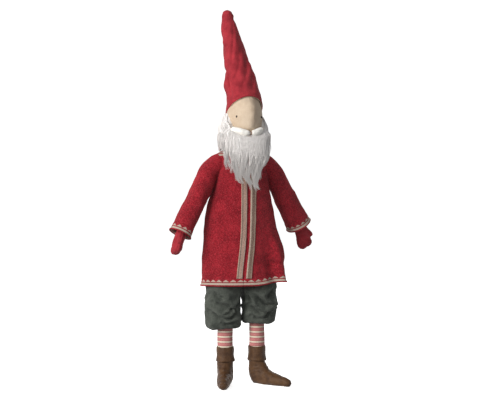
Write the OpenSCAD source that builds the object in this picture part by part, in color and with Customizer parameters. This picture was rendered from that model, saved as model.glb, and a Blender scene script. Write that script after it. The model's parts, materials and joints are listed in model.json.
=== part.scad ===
// Soft tomte gnome doll: a stuffed cloth body with a turning head, swinging arms and legs and
// twisting feet, dressed in a pointed hat, a knitted coat, puffed trousers and leather boots.
// The doll faces -Y and stands on the XY plane. Left and right are the doll's own.

/* [Legs and boots] */
// Distance of each leg's axis from the middle of the body
leg_x = 28; // [27:0.5:30]
// Radius of the striped leg
leg_r = 12.7; // [12:0.1:12.8]
// Height of the hip seam
hip_z = 205; // [203:1:207]
// Radius of the boot's shaft
boot_r = 14; // [13.8:0.1:14.4]
// Height of the boot with its turned-down cuff
boot_h = 64; // [58:1:70]
// Depth of the turned-down cuff
boot_cuff_h = 25; // [15:1:28]
// Reach of the toe in front of the leg's axis
toe_reach = 73; // [60:1:76]
// Outward turn of the right toe, in degrees
right_toe_out = 16; // [5:1:30]
// Outward turn of the left toe, in degrees
left_toe_out = 36; // [5:1:50]

/* [Arms] */
// Distance of each shoulder from the middle of the body
shoulder_x = 54; // [54:0.5:56]
// Height of the shoulders
shoulder_z = 365; // [363:1:367]
// Angle of the right arm away from the body, in degrees
right_arm_out = 27; // [24:1:32]
// Angle of the left arm away from the body, in degrees
left_arm_out = 30; // [24:1:32]
// Forward swing of the right arm at rest, in degrees
right_swing = 12; // [0:1:20]
// Forward swing of the left arm at rest, in degrees
left_swing = -16; // [-20:1:0]
// Length of the right sleeve from the shoulder
right_sleeve_len = 125; // [112:1:128]
// Length of the left sleeve from the shoulder
left_sleeve_len = 115; // [112:1:128]
// Radius of the sleeve at the shoulder
sleeve_r = 18; // [17:0.1:18]
// How much wider the right sleeve is at its cuff
right_flare = 0.4; // [0:0.1:4]
// How much wider the left sleeve is at its cuff
left_flare = 4.4; // [0:0.1:5]
// Width of the mitten across the palm
palm_w = 26; // [22:0.5:28]

/* [Head and hat] */
// Radius of the back of the head
head_r = 30.5; // [29:0.5:31]
// How far the ridge of the face stands in front of the neck
face_reach = 37; // [34:0.5:40]
// Turn of the face towards the doll's left, in degrees
head_yaw = 8; // [-20:1:20]
// Height of the hat's tip
hat_top = 638; // [630:1:660]
// Slope of the hat's opening, in degrees
brim_tilt = 38; // [28:1:42]

/* [Clothes] */
// Thickness of the knitted coat
knit_t = 1.8; // [1.2:0.1:2.2]
// Thickness of the woven cloth
cloth_t = 1.2; // [0.8:0.1:1.4]
// Height of the coat's bottom edge
hem_z = 168.5; // [166:0.5:172]
// Width of each woven band down the front
band_w = 9.8; // [8:0.1:11]
// Gap between the two bands
band_gap = 6.4; // [5:0.1:8]

/* [Hidden] */
$fn = 40;

red_knit = "#9a2330";
red_cloth = "#a5303a";
cream = "#d9cdb8";
band_cloth = "#a8968a";
skin_cloth = "#e3cfb0";
wool = "#e8e6e3";
grey_green = "#4a4e49";
stocking = "#c06a70";
leather = "#57402f";
stuffing = "#f4f2ee";
thread = "#b89a78";

fit = 0.2;       // gap between pieces that are sewn or packed together
running = 0.5;   // gap between pieces that move past each other
middle = [5.2, -10.6, 0];    // middle of the whole figure, measured from between the heels
head_at = [4, -6, 0];        // the neck's axis

LEFT = 1;
RIGHT = -1;

// ---- shapes that several pieces share ----

// Skins a closed solid over elliptical rings [z, x, y, half width, half depth], drawn in by inset.
module loft(rings, inset = 0, sides = 30) {
  last = len(rings) - 1;
  points = [for (r = rings) for (i = [0 : sides - 1])
    let (a = 360 * i / sides, w = max(r[3] - inset, 0.5), d = max(r[4] - inset, 0.5))
    [r[1] + w * cos(a), r[2] + d * sin(a), r[0]]];
  walls = [for (k = [0 : last - 1]) for (i = [0 : sides - 1]) let (j = (i + 1) % sides)
    each [[k * sides + i, (k + 1) * sides + i, (k + 1) * sides + j],
          [k * sides + i, (k + 1) * sides + j, k * sides + j]]];
  floor_face = [[for (i = [0 : sides - 1]) i]];
  roof_face = [[for (i = [sides - 1 : -1 : 0]) last * sides + i]];
  polyhedron(concat(points), concat(floor_face, walls, roof_face));
}

// The same rings with their two ends moved outward by low and high.
function stretch_ends(rings, low, high) = [for (i = [0 : len(rings) - 1])
  [rings[i][0] + (i == 0 ? -low : i == len(rings) - 1 ? high : 0),
   rings[i][1], rings[i][2], rings[i][3], rings[i][4]]];

// A tube of cloth over the rings, open at both ends.
module open_shell(rings, wall) {
  difference() {
    loft(rings);
    loft(stretch_ends(rings, 1, 1), wall);
  }
}

// A closed bag of cloth over the rings.
module closed_shell(rings, wall) {
  difference() {
    loft(rings);
    loft(stretch_ends(rings, -wall, -wall), wall);
  }
}

// Everything in front of the middle of one half of the doll, or behind it.
module half_space(side) {
  translate([side > 0 ? fit / 2 : -200 - fit / 2, -100, 0]) cube([200, 200, 700]);
}

module place() {
  translate(-middle) children();
}

module head_frame() {
  translate(head_at) rotate([0, 0, head_yaw]) children();
}

function arm_out(side) = side > 0 ? left_arm_out : right_arm_out;
function flare(side) = side > 0 ? left_flare : right_flare;

module arm_frame(side) {
  swing = side > 0 ? left_swing : right_swing;
  translate([side * shoulder_x, 0, shoulder_z])
    rotate([-swing, 0, 0]) rotate([0, -side * arm_out(side), 0]) children();
}

module foot_frame(side) {
  turn = side > 0 ? left_toe_out : -right_toe_out;
  translate([side * leg_x, 0, 0]) rotate([0, 0, turn]) children();
}

// ---- head ----

cheek_z = 446;
crown_z = 474;
crown_r = 27;
ridge_r = 11;
neck_r = 11;
neck_top = 424;

module head_form(grow = 0) {
  hull() {
    translate([0, 3, cheek_z]) sphere(head_r + grow, $fn = 24);
    translate([0, 3, crown_z]) sphere(crown_r + grow, $fn = 24);
    translate([0, -14.5, 481]) sphere(12 + grow, $fn = 18);
    translate([0, ridge_r - face_reach, 466]) sphere(ridge_r + grow, $fn = 18);
    translate([0, ridge_r - face_reach, 441]) sphere(ridge_r + grow, $fn = 18);
  }
}

module neck_bore(extra) {
  translate([0, 0, 400]) cylinder(r = neck_r + 0.3, h = neck_top + extra - 400);
}

module head_skin() {
  color(skin_cloth) head_frame() difference() {
    head_form();
    head_form(-cloth_t);
    neck_bore(1);
  }
}

module head_filling() {
  color(stuffing) head_frame() difference() {
    head_form(-cloth_t - fit);
    neck_bore(1);
  }
}

module nose() {
  color(skin_cloth) head_frame() difference() {
    translate([0, 2.4 - face_reach, 456]) sphere(4, $fn = 24);
    head_form(fit);
  }
}

module eye(side) {
  color("#2c2622") head_frame() translate([side * 23.4, -18.4, 454]) sphere(1.5, $fn = 20);
}

module moustache_form(side, grow = 0) {
  hull() {
    translate([side * 4.6, -31, 425]) sphere(3.6 + grow, $fn = 14);
    translate([side * 15, -26.5, 428]) sphere(5.4 + grow, $fn = 18);
    translate([side * 28.5, -12.5, 437.5]) sphere(3 + grow, $fn = 14);
  }
}

module moustache(side) {
  color(wool) head_frame() difference() {
    moustache_form(side);
    head_form(fit);
  }
}

module moustache_stitch() {
  color(thread) head_frame() translate([0, -31, 425])
    rotate([0, 90, 0]) cylinder(r = 3.2, h = 1.6, center = true);
}

hair_rings = [
  [405.5, 0, 2, 42, 36], [415, 0, 2, 43, 38], [430, 0, 2, 43, 38.5],
  [442, 0, 2, 41, 37.5], [452, 0, 2.5, 37, 36], [459, 0, 3, 34.5, 34.8]
];
hair_front = -13;    // the hair at the sides ends here, and the beard begins

module hair() {
  color(wool) difference() {
    head_frame() difference() {
      loft(hair_rings);
      head_form(fit);
      translate([-60, hair_front - 80, 400]) cube([120, 80, 80]);
      translate([0, 0, 400]) cylinder(r = neck_r + 3, h = 30);
      moustache_form(LEFT, fit);
      moustache_form(RIGHT, fit);
    }
    difference() {
      loft(hat_rings, -hat_hem_t - fit);
      translate([0, 0, -fit]) under_brim();
    }
  }
}

beard_rings = [
  [334, 6, -42, 8, 4], [345, 5, -42.5, 20, 6], [362, 4, -42, 31, 8], [380, 2, -40, 38, 10],
  [395, 1, -36, 41, 14], [410, 0, -29, 42, 17], [425, 0, -24, 40, 15], [434, 0, -22, 36, 11]
];

module beard() {
  color(wool) difference() {
    translate(head_at) loft(beard_rings);
    head_frame() {
      translate([-60, hair_front - fit, 404.5]) cube([120, 90, 80]);
      head_form(fit);
      moustache_form(LEFT, fit);
      moustache_form(RIGHT, fit);
      translate([-6, -60, 420]) cube([12, 60, 20]);
    }
    loft(coat_clearance_rings());
    neck_band_form(0.5);
    translate(head_at + [0, 0, 330]) cylinder(r = neck_r + 1, h = 100);
    translate([-60, 0, 330]) cube([120, 40, 90]);
  }
}

// ---- hat ----

hat_cloth_t = 1.6;
brim_z = 468.3;         // height of the hat's opening on the neck's axis
hat_hem_h = 4;
hat_hem_t = 0.9;
hat_rings = [
  [432, 4.5, -3.5, 33.2, 33.2], [458, 4.9, -3.5, 32.6, 32.6], [477, 5.2, -4, 30.8, 31.6],
  [494, 3.6, -3, 29.2, 29], [513, -1.6, -1, 27.8, 25], [534, -4, 0, 23.8, 22],
  [556, -9.6, 0, 21, 19], [578, -14.4, 0, 18.2, 16.5], [602, -19, 0, 14.6, 13.5],
  [627, -23.7, 0, 9.2, 8.5], [635, -24.3, 0, 5.8, 5.5], [hat_top, -24.3, 0, 2, 2]
];

// Everything under the sloping opening of the hat.
module under_brim() {
  head_frame() translate([0, 0, brim_z]) rotate([-brim_tilt, 0, 0])
    translate([-80, -80, -100]) cube([160, 160, 100]);
}

module hat() {
  color(red_cloth) difference() {
    loft(hat_rings);
    loft(stretch_ends(hat_rings, 1, -3), hat_cloth_t);
    under_brim();
    head_frame() head_form(fit);
  }
}

module hat_hem() {
  color(red_cloth) difference() {
    loft(hat_rings, -hat_hem_t);
    loft(stretch_ends(hat_rings, 1, 1), -fit / 2);
    under_brim();
    translate([0, 0, hat_hem_h]) difference() {
      translate([-100, -100, 400]) cube([200, 200, 300]);
      under_brim();
    }
  }
}

module hat_filling() {
  color(stuffing) difference() {
    loft(stretch_ends(hat_rings, 0, -3.5), hat_cloth_t + fit);
    translate([-100, -100, 400]) cube([200, 200, 103]);
    head_frame() head_form(fit);
  }
}

// ---- body ----

torso_rings = [
  [206, 0, 0, 42, 1.4], [232, 0, 0, 45, 20.5], [270, 0, 0, 42, 24], [320, 0, 0, 38, 24],
  [350, 0, 0, 39, 21.5], [372, 0, -1, 39, 19], [386, 2, -3, 30, 17], [393, 3, -5, 16, 14]
];
socket_r = 18.5;      // the round top of each sleeve, about the shoulder
stub_r = 11;          // the seam where each arm is sewn to the body
stub_from = 28;
stub_to = 41;

module shoulder_balls(radius) {
  for (side = [LEFT, RIGHT])
    translate([side * shoulder_x, 0, shoulder_z]) sphere(radius, $fn = 48);
}

module shoulder_stubs(radius, to_x) {
  for (side = [LEFT, RIGHT])
    translate([side * stub_from, 0, shoulder_z])
      rotate([0, side * 90, 0]) cylinder(r = radius, h = to_x - stub_from);
}

module torso_skin() {
  color(skin_cloth) difference() {
    union() {
      difference() {
        loft(torso_rings);
        shoulder_balls(socket_r + running);
      }
      shoulder_stubs(stub_r, stub_to);
    }
    torso_inside(0);
  }
}

module torso_inside(gap) {
  difference() {
    loft(stretch_ends(torso_rings, -4, -cloth_t - gap), cloth_t + gap);
    shoulder_balls(socket_r + running + cloth_t + gap);
  }
  shoulder_stubs(stub_r - cloth_t - gap, stub_to - cloth_t - gap);
}

module torso_filling() {
  color(stuffing) torso_inside(fit);
}

module neck() {
  color(skin_cloth) translate(head_at + [0, 0, 393 + fit]) cylinder(r = neck_r, h = neck_top - 393 - fit);
}

// ---- coat ----

waist_z = 240;
coat_rings = [
  [waist_z, 1, 0, 67.5, 36.5], [265, -2, 0, 63, 35.5], [300, -4, 0, 56.5, 33.5],
  [325, -2, 0, 48.5, 32.5], [344, 0, 0, 43.6, 32], [362, 0, -0.5, 44.5, 31],
  [388, 0, -1.5, 48, 26.5], [396, 1, -2, 40, 24.5], [401, 3, -4.5, 28, 20]
];
border_top = hem_z + 12.5;
skirt_rings = [
  [border_top + fit, 3.5, 0, 73.4, 38.3], [210, 2.5, 0, 71.4, 37.4], [waist_z - fit, 1, 0, 67.6, 36.5]
];
border_rings = [[hem_z, 4, 0, 75.6, 39.1], [border_top, 3.5, 0, 74.2, 39]];

// The space that the slanting sleeves swing through, about the shoulders' line.
module arm_sweep() {
  slope = tan(90 - right_arm_out);
  near_x = shoulder_x - sleeve_r / cos(right_arm_out) - running;
  for (side = [LEFT, RIGHT])
    intersection() {
      translate([side * near_x, 0, shoulder_z])
        rotate([0, side * 90, 0]) cylinder(r1 = 0.1, r2 = 40 * slope, h = 40);
      translate([-150, -150, shoulder_z - 150]) cube([300, 300, 160]);
    }
}

module coat_body() {
  color(red_knit) difference() {
    open_shell(coat_rings, knit_t);
    shoulder_balls(socket_r + running);
    arm_sweep();
  }
}

module coat_skirt(side) {
  color(red_knit) intersection() {
    open_shell(skirt_rings, knit_t);
    half_space(side);
  }
}

module coat_hem(side) {
  color(cream) intersection() {
    open_shell(border_rings, knit_t + 0.6);
    half_space(side);
  }
}

// The coat's whole front as one set of rings, from the border to the collar.
function band_rings() = concat(
  [[border_top + 2, 3.5, 0, 73.4, 38.3]],
  [skirt_rings[1]],
  [for (i = [0 : len(coat_rings) - 2]) coat_rings[i]]);
function coat_clearance_rings() = [for (r = coat_rings) [r[0], r[1], r[2], r[3] + 1.6, r[4] + 1.6]];

placket_lean = 3.8;   // the front bands lean towards the doll's left as they rise, in degrees

module front_band(side) {
  color(band_cloth) intersection() {
    difference() {
      loft(band_rings(), -1.1);
      loft(stretch_ends(band_rings(), 1, 1), -fit / 2);
    }
    translate([-5, -70, 180]) rotate([0, placket_lean, 0])
      translate([side > 0 ? band_gap / 2 : -band_gap / 2 - band_w, 0, -10]) cube([band_w, 70, 215]);
  }
}

neck_band_rings = [[401.2, 3, -4.5, 27.5, 19.6], [404.4, 4, -6, 22, 17.5]];

module neck_band_form(grow) {
  loft(stretch_ends(neck_band_rings, grow, grow), -grow);
}

module neck_band() {
  color(cream) open_shell(neck_band_rings, knit_t);
}

// ---- sleeves, arms and mittens ----

sleeve_t = 1.6;
cuff_h = 12.5;
arm_len = 106.8;        // shoulder to the seam of the mitten
wrist_s = 117;        // shoulder to the middle of the wrist
hand_len = 43;        // middle of the wrist to the mitten's tip
arm_ball_r = 12.5;
hand_bend = 8;        // the hand hangs steeper than the arm, in degrees

function sleeve_len(side) = side > 0 ? left_sleeve_len : right_sleeve_len;

// The sleeve's cone, drawn in by inset and ending above its full length by short.
module sleeve_cone(side, inset, short) {
  len = sleeve_len(side);
  wide = flare(side) * (len - short) / len;
  translate([0, 0, short - len])
    cylinder(r1 = sleeve_r + wide - inset, r2 = sleeve_r - inset, h = len - short);
}

module sleeve(side) {
  color(red_knit) arm_frame(side) difference() {
    union() {
      sphere(socket_r, $fn = 48);
      sleeve_cone(side, 0, cuff_h + fit);
    }
    sphere(socket_r - sleeve_t, $fn = 48);
    sleeve_cone(side, sleeve_t, -1);
    rotate([0, -side * (90 - arm_out(side)), 0]) cylinder(r = stub_r + 2, h = 40);
  }
}

module sleeve_cuff(side) {
  wide = sleeve_r + flare(side);
  color(cream) arm_frame(side) translate([0, 0, -sleeve_len(side)]) difference() {
    cylinder(r = wide + 0.8, h = cuff_h);
    translate([0, 0, -1]) cylinder(r = wide - sleeve_t, h = cuff_h + 2);
  }
}

module arm_form(shrink) {
  sphere(arm_ball_r - shrink);
  translate([0, 0, shrink - arm_len])
    cylinder(r1 = 9.2 - shrink, r2 = 11.6 - shrink, h = arm_len - shrink);
}

module arm_skin(side) {
  color(skin_cloth) arm_frame(side) difference() {
    arm_form(0);
    arm_form(cloth_t);
  }
}

module arm_filling(side) {
  color(stuffing) arm_frame(side) arm_form(cloth_t + fit);
}

module palm_form(side, shrink = 0) {
  r = 8.5 - shrink;
  knuckle = palm_w / 2 - 8.5;
  thumb_turn = side > 0 ? 0 : -90;
  arm_frame(side) translate([0, 0, -wrist_s]) rotate([0, side * hand_bend, 0])
    rotate([0, 0, thumb_turn]) {
      hull() {
        translate([0, 0, 2.5]) sphere(r - 1, $fn = 18);
        translate([-knuckle + 0.5, 0, 8.5 - hand_len]) sphere(r, $fn = 18);
        translate([knuckle, 0, 10 - hand_len]) sphere(r - 0.5, $fn = 18);
      }
      hull() {
        translate([7, 0, -6]) sphere(r - 3.5, $fn = 14);
        translate([palm_w / 2 + 1, 0, -21]) sphere(r - 4, $fn = 14);
      }
    }
}

module mitten(side) {
  color(red_cloth) palm_form(side);
}

// ---- trousers ----

puff_x = 31.5;
puff_top = 178;
function puff_rings(side) = [
  [96, side * 30.5, 0, 22, 18], [102, side * 31, 0, 27.5, 23.5], [115, side * 31.2, 0, 29.6, 26],
  [140, side * puff_x, 0, 30.5, 26.5], [165, side * 31.3, 0, 30.2, 26],
  [puff_top, side * 31, 0, 29.8, 25.5]
];
seat_rings = [
  [puff_top + 0.6, 0, 0, 60.5, 26.5], [hip_z, 0, 0, 58, 28], [232, 0, 0, 54, 28], [246, 0, 0, 50, 27.5]
];
waist_band_rings = [[246.2, 0, 0, 50.5, 28], [252, 0, 0, 49.5, 27.5]];

module trouser_leg(side) {
  color(grey_green) difference() {
    loft(puff_rings(side));
    loft(stretch_ends(puff_rings(side), -cloth_t, 1), cloth_t);
    translate([side * leg_x, 0, 90]) cylinder(r = leg_r + 0.4, h = 20);
  }
}

module trouser_seat() {
  color(grey_green) open_shell(seat_rings, cloth_t);
}

module waist_elastic() {
  color(grey_green) open_shell(waist_band_rings, cloth_t);
}

module knee_elastic(side) {
  color(cream) translate([side * leg_x, 0, 97.6]) difference() {
    cylinder(r = leg_r + 2.2, h = 4);
    translate([0, 0, -1]) cylinder(r = leg_r + fit, h = 6);
  }
}

// ---- legs and boots ----

leg_bottom = 33;
leg_shoulder = 184;   // the leg narrows above this height to its flat seam at the hip

module leg_form(side, shrink) {
  translate([side * leg_x, 0, 0]) {
    translate([0, 0, leg_bottom + shrink])
      cylinder(r = leg_r - shrink, h = leg_shoulder - leg_bottom - shrink);
    hull() {
      translate([0, 0, leg_shoulder - 1]) cylinder(r = leg_r - shrink, h = 1, $fn = 32);
      translate([-11 + shrink, -1.4, hip_z - 7 - 3 * shrink]) cube([22 - 2 * shrink, 2.8, 4]);
    }
  }
}

module leg_skin(side) {
  color(stocking) difference() {
    leg_form(side, 0);
    leg_form(side, cloth_t);
  }
}

module leg_filling(side) {
  color(stuffing) leg_form(side, cloth_t + fit);
}

boot_t = 0.9;

module foot_form(shrink) {
  intersection() {
    union() {
      hull() {
        translate([0, 0, 22]) sphere(boot_r - shrink, $fn = 22);
        translate([0, 2, 10]) sphere(13 - shrink, $fn = 22);
        translate([0, -12, 9]) sphere(12.5 - shrink, $fn = 22);
      }
      hull() {
        translate([0, 2, 10]) sphere(13 - shrink, $fn = 22);
        translate([0, -28, 7.5]) sphere(11 - shrink, $fn = 22);
        translate([0, 6.5 - toe_reach, 4.8]) sphere(6.5 - shrink, $fn = 18);
      }
    }
    translate([-40, -90, shrink]) cube([80, 130, 90]);
  }
}

module boot(side) {
  color(leather) foot_frame(side) difference() {
    union() {
      foot_form(0);
      translate([0, 0, 22]) cylinder(r = boot_r, h = boot_h - 22);
    }
    foot_form(boot_t);
    translate([0, 0, 22]) cylinder(r = boot_r - boot_t, h = boot_h);
  }
}

module boot_cuff(side) {
  color(leather) foot_frame(side) translate([0, 0, boot_h - boot_cuff_h]) difference() {
    cylinder(r = boot_r + 1.1, h = boot_cuff_h);
    translate([0, 0, -1]) cylinder(r = boot_r + 0.1, h = boot_cuff_h + 2);
  }
}

module foot_filling(side) {
  color(stuffing) foot_frame(side) difference() {
    foot_form(boot_t + fit);
    translate([0, 0, leg_bottom - 0.5]) cylinder(r = boot_r, h = 20);
  }
}

// ---- the pieces, one at a time ----

place() {
  head_skin();
  head_filling();
  nose();
  eye(LEFT);  // eye_left
  eye(RIGHT);  // eye_right
  moustache(LEFT);  // moustache_left
  moustache(RIGHT);  // moustache_right
  moustache_stitch();
  hair();
  beard();
  hat();
  hat_hem();
  hat_filling();
  torso_skin();
  torso_filling();
  neck();
  coat_body();
  coat_skirt(LEFT);  // coat_skirt_left
  coat_skirt(RIGHT);  // coat_skirt_right
  coat_hem(LEFT);  // coat_hem_left
  coat_hem(RIGHT);  // coat_hem_right
  front_band(LEFT);  // front_band_left
  front_band(RIGHT);  // front_band_right
  neck_band();
  sleeve(LEFT);  // sleeve_left
  sleeve(RIGHT);  // sleeve_right
  sleeve_cuff(LEFT);  // sleeve_cuff_left
  sleeve_cuff(RIGHT);  // sleeve_cuff_right
  arm_skin(LEFT);  // arm_skin_left
  arm_skin(RIGHT);  // arm_skin_right
  arm_filling(LEFT);  // arm_filling_left
  arm_filling(RIGHT);  // arm_filling_right
  mitten(LEFT);  // mitten_left
  mitten(RIGHT);  // mitten_right
  trouser_seat();
  waist_elastic();
  trouser_leg(LEFT);  // trouser_leg_left
  trouser_leg(RIGHT);  // trouser_leg_right
  knee_elastic(LEFT);  // knee_elastic_left
  knee_elastic(RIGHT);  // knee_elastic_right
  leg_skin(LEFT);  // leg_skin_left
  leg_skin(RIGHT);  // leg_skin_right
  leg_filling(LEFT);  // leg_filling_left
  leg_filling(RIGHT);  // leg_filling_right
  boot(LEFT);  // boot_left
  boot(RIGHT);  // boot_right
  boot_cuff(LEFT);  // boot_cuff_left
  boot_cuff(RIGHT);  // boot_cuff_right
  foot_filling(LEFT);  // foot_filling_left
  foot_filling(RIGHT);  // foot_filling_right
}
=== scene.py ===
"""The looks of the tomte doll: knitted coat, felted hat, wool beard, linen face, puffed trousers and leather boots.

Lengths are in millimetres in the doll's own frame: the origin is on the floor between the heels, the doll faces -Y
and +X is its left. row() turns them into the shared frame's metres.
"""
import json
import math

import bmesh
import bpy
import numpy as np
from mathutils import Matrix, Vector


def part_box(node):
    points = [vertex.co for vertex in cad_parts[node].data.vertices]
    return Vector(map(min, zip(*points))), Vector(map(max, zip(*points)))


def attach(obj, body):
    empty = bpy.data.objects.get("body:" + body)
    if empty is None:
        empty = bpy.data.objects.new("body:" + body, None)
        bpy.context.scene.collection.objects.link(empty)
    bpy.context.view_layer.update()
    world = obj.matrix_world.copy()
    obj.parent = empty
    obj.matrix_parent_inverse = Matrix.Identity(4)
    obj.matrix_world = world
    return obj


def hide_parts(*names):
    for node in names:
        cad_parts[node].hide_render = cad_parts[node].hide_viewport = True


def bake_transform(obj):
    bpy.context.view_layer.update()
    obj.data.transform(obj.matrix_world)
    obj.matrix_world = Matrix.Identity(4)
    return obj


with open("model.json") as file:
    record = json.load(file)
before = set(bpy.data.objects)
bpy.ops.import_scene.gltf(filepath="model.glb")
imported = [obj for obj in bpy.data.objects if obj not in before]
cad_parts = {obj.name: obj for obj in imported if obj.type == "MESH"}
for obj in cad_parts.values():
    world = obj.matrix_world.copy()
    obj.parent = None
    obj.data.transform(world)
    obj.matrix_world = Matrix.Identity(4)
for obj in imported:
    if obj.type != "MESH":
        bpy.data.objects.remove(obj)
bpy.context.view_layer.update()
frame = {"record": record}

MM = 0.001
LEFT, RIGHT = 1, -1
SIDES = (("left", LEFT), ("right", RIGHT))


# ---- where things are, from the frame ----

def middle_of(node):
    low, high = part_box(node)
    return (low + high) / 2


LEGS_MIDDLE = (middle_of("leg_skin_left") + middle_of("leg_skin_right")) / 2
ORIGIN = np.array([LEGS_MIDDLE.x, LEGS_MIDDLE.y, 0.0])
JOINTS = {j["name"]: j for j in frame["record"]["behaviour"]["joints"]}


def row(points):
    """Doll millimetres to the shared frame's metres."""
    return np.asarray(points, float) * MM + ORIGIN


def pivot(joint):
    """A joint's place, in doll millimetres."""
    return (np.array(JOINTS[joint]["pos_m"]) - ORIGIN) / MM


def box_mm(node):
    low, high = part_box(node)
    return (np.array(low) - ORIGIN) / MM, (np.array(high) - ORIGIN) / MM


SHOULDER = {side: pivot(f"shoulder_swing_{name}") for name, side in SIDES}
HIP = {side: pivot(f"hip_swing_{name}") for name, side in SIDES}
NECK = pivot("head_turn")
HEAD_YAW = math.radians(8)
HAT_TOP = box_mm("hat")[1][2]
HEM_Z = box_mm("coat_hem_left")[0][2]
HEM_TOP = box_mm("coat_hem_left")[1][2]


# ---- numbers ----

def hermite(x, xs, ys):
    """A smooth curve through the points (xs, ys), evaluated at x."""
    x, xs, ys = np.asarray(x, float), np.asarray(xs, float), np.asarray(ys, float)
    slopes = np.gradient(ys, xs)
    i = np.clip(np.searchsorted(xs, x) - 1, 0, len(xs) - 2)
    h = xs[i + 1] - xs[i]
    t = np.clip((x - xs[i]) / h, 0, 1)
    return ((1 + 2 * t) * (1 - t) ** 2 * ys[i] + t * (1 - t) ** 2 * h * slopes[i]
            + t * t * (3 - 2 * t) * ys[i + 1] - t * t * (1 - t) * h * slopes[i + 1])


def unit(vectors):
    return vectors / np.maximum(np.linalg.norm(vectors, axis=-1, keepdims=True), 1e-9)


def smoothstep(x, low, high):
    """0 below low, 1 above high, smooth between."""
    t = np.clip((np.asarray(x, float) - low) / (high - low), 0, 1)
    return t * t * (3 - 2 * t)


def bump(x, centre, width):
    """A bell of height 1."""
    return np.exp(-((np.asarray(x, float) - centre) / width) ** 2)


def ripple(points, wavelength, seed, stretch=(1, 1, 1), waves=10):
    """Smooth pseudo-random waves through space, from about -1 to 1."""
    rng = np.random.default_rng(seed)
    p = np.asarray(points, float) / np.array(stretch)
    total = np.zeros(p.shape[:-1])
    for _ in range(waves):
        d = rng.normal(size=3)
        d *= rng.uniform(0.6, 1.5) / np.linalg.norm(d)
        total += np.sin(p @ d * (2 * math.pi / wavelength) + rng.uniform(0, 2 * math.pi))
    return total / math.sqrt(waves)


def circle(count):
    """Evenly spaced angles round a full turn."""
    return np.linspace(0, 2 * math.pi, count, endpoint=False)


def ellipse(angle, z, cx, cy, wide, deep):
    """Points round a level ellipse at the height z."""
    return np.stack(np.broadcast_arrays(cx + wide * np.cos(angle), cy + deep * np.sin(angle), z + 0 * angle), -1)


def at_height(table, z):
    """The other columns of a table whose first column is a height, at the heights z."""
    return [hermite(z, table[:, 0], column) for column in table.T[1:]]


def turned(points, angle):
    """Points turned about the Z axis."""
    p = np.asarray(points, float)
    c, s = math.cos(angle), math.sin(angle)
    return np.stack([p[..., 0] * c - p[..., 1] * s, p[..., 0] * s + p[..., 1] * c, p[..., 2]], -1)


def in_head(points):
    """From the head's own frame, whose Z axis is the neck, to the doll's."""
    return turned(points, HEAD_YAW) + np.array([NECK[0], NECK[1], 0])


def grid_normals(p, wrap):
    """Outward normals of a grid of points whose columns run anticlockwise and whose rows run up."""
    du = np.roll(p, -1, 1) - np.roll(p, 1, 1) if wrap else np.gradient(p, axis=1)
    return unit(np.cross(du, np.gradient(p, axis=0)))


def raised(p, height, wrap=True):
    """A grid of points moved outward by a height at each."""
    return p + grid_normals(p, wrap) * height[..., None]


def faces_in(p):
    """True when a tube's faces would look towards its axis."""
    return float((grid_normals(p, True) * (p - p.mean(1, keepdims=True))).sum()) < 0


def closed_ends(p):
    """Draws a tube's first and last ring together to points."""
    p[0], p[-1] = p[0].mean(0), p[-1].mean(0)
    return p


def with_ends(p):
    """Adds a closing point, as a ring, before the first ring and after the last."""
    first, last = [np.broadcast_to(ring.mean(0), ring.shape)[None] for ring in (p[0], p[-1])]
    return np.concatenate([first, p, last])


def smoothed(values, passes):
    """Averages a wrapping grid of values with their neighbours."""
    for _ in range(passes):
        side = (np.roll(values, 1, 1) + np.roll(values, -1, 1)) / 2
        up = np.concatenate([values[:1], values[:-1]])
        down = np.concatenate([values[1:], values[-1:]])
        values = (2 * values + side + (up + down) / 2) / 4
    return values


# ---- meshes ----

def linked(name, data):
    """A new object in the scene."""
    obj = bpy.data.objects.new(name, data)
    bpy.context.scene.collection.objects.link(obj)
    return obj


def smooth_mesh(name, metres, faces):
    mesh = bpy.data.meshes.new(name)
    mesh.from_pydata(metres.tolist(), [], faces.tolist())
    mesh.polygons.foreach_set("use_smooth", np.ones(len(mesh.polygons), bool))
    return mesh


def set_uv(mesh, uv):
    """One UV, in millimetres, for each face corner."""
    layer = mesh.uv_layers.new(name="UVMap")
    layer.data.foreach_set("uv", np.asarray(uv, np.float32).ravel())


def new_object(name, co, faces, uv):
    mesh = smooth_mesh(name, row(co), faces)
    set_uv(mesh, uv)
    return linked(name, mesh)


def weld(obj, distance=1e-6):
    """Joins vertices closer than a distance in metres."""
    bm = bmesh.new()
    bm.from_mesh(obj.data)
    bmesh.ops.remove_doubles(bm, verts=bm.verts, dist=distance)
    bm.to_mesh(obj.data)
    bm.free()
    return obj


def measured_uv(p, wrap):
    """UVs in millimetres: u round the middle row, v along the columns."""
    loop = np.concatenate([p, p[:, :1]], 1) if wrap else p
    across = np.linalg.norm(np.diff(loop, axis=1), axis=-1)
    along = np.linalg.norm(np.diff(p, axis=0), axis=-1).mean(1)
    u = np.concatenate([[0], np.cumsum(across.mean(0))])
    v = np.concatenate([[0], np.cumsum(along)])
    return np.stack(np.meshgrid(u, v), -1)


def grid(name, p, wrap=True, uv=None, flip=False):
    """A surface through a grid of points, rows first."""
    rows, columns = p.shape[:2]
    uv = measured_uv(p, wrap) if uv is None else uv
    cells = columns if wrap else columns - 1
    i, k = np.meshgrid(np.arange(cells), np.arange(rows - 1))
    j = (i + 1) % columns
    quads = np.stack([k * columns + i, k * columns + j, (k + 1) * columns + j, (k + 1) * columns + i], -1)
    corner = np.stack([uv[k, i], uv[k, i + 1], uv[k + 1, i + 1], uv[k + 1, i]], -2)
    quads, corner = quads.reshape(-1, 4), corner.reshape(-1, 4, 2)
    if flip:
        quads, corner = quads[:, ::-1], corner[:, ::-1]
    return new_object(name, p.reshape(-1, 3), quads, corner)


def thicken(obj, thickness, offset=-1.0):
    modifier = obj.modifiers.new("thickness", "SOLIDIFY")
    modifier.thickness = thickness * MM
    modifier.offset = offset
    return apply_modifiers(obj)


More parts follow.
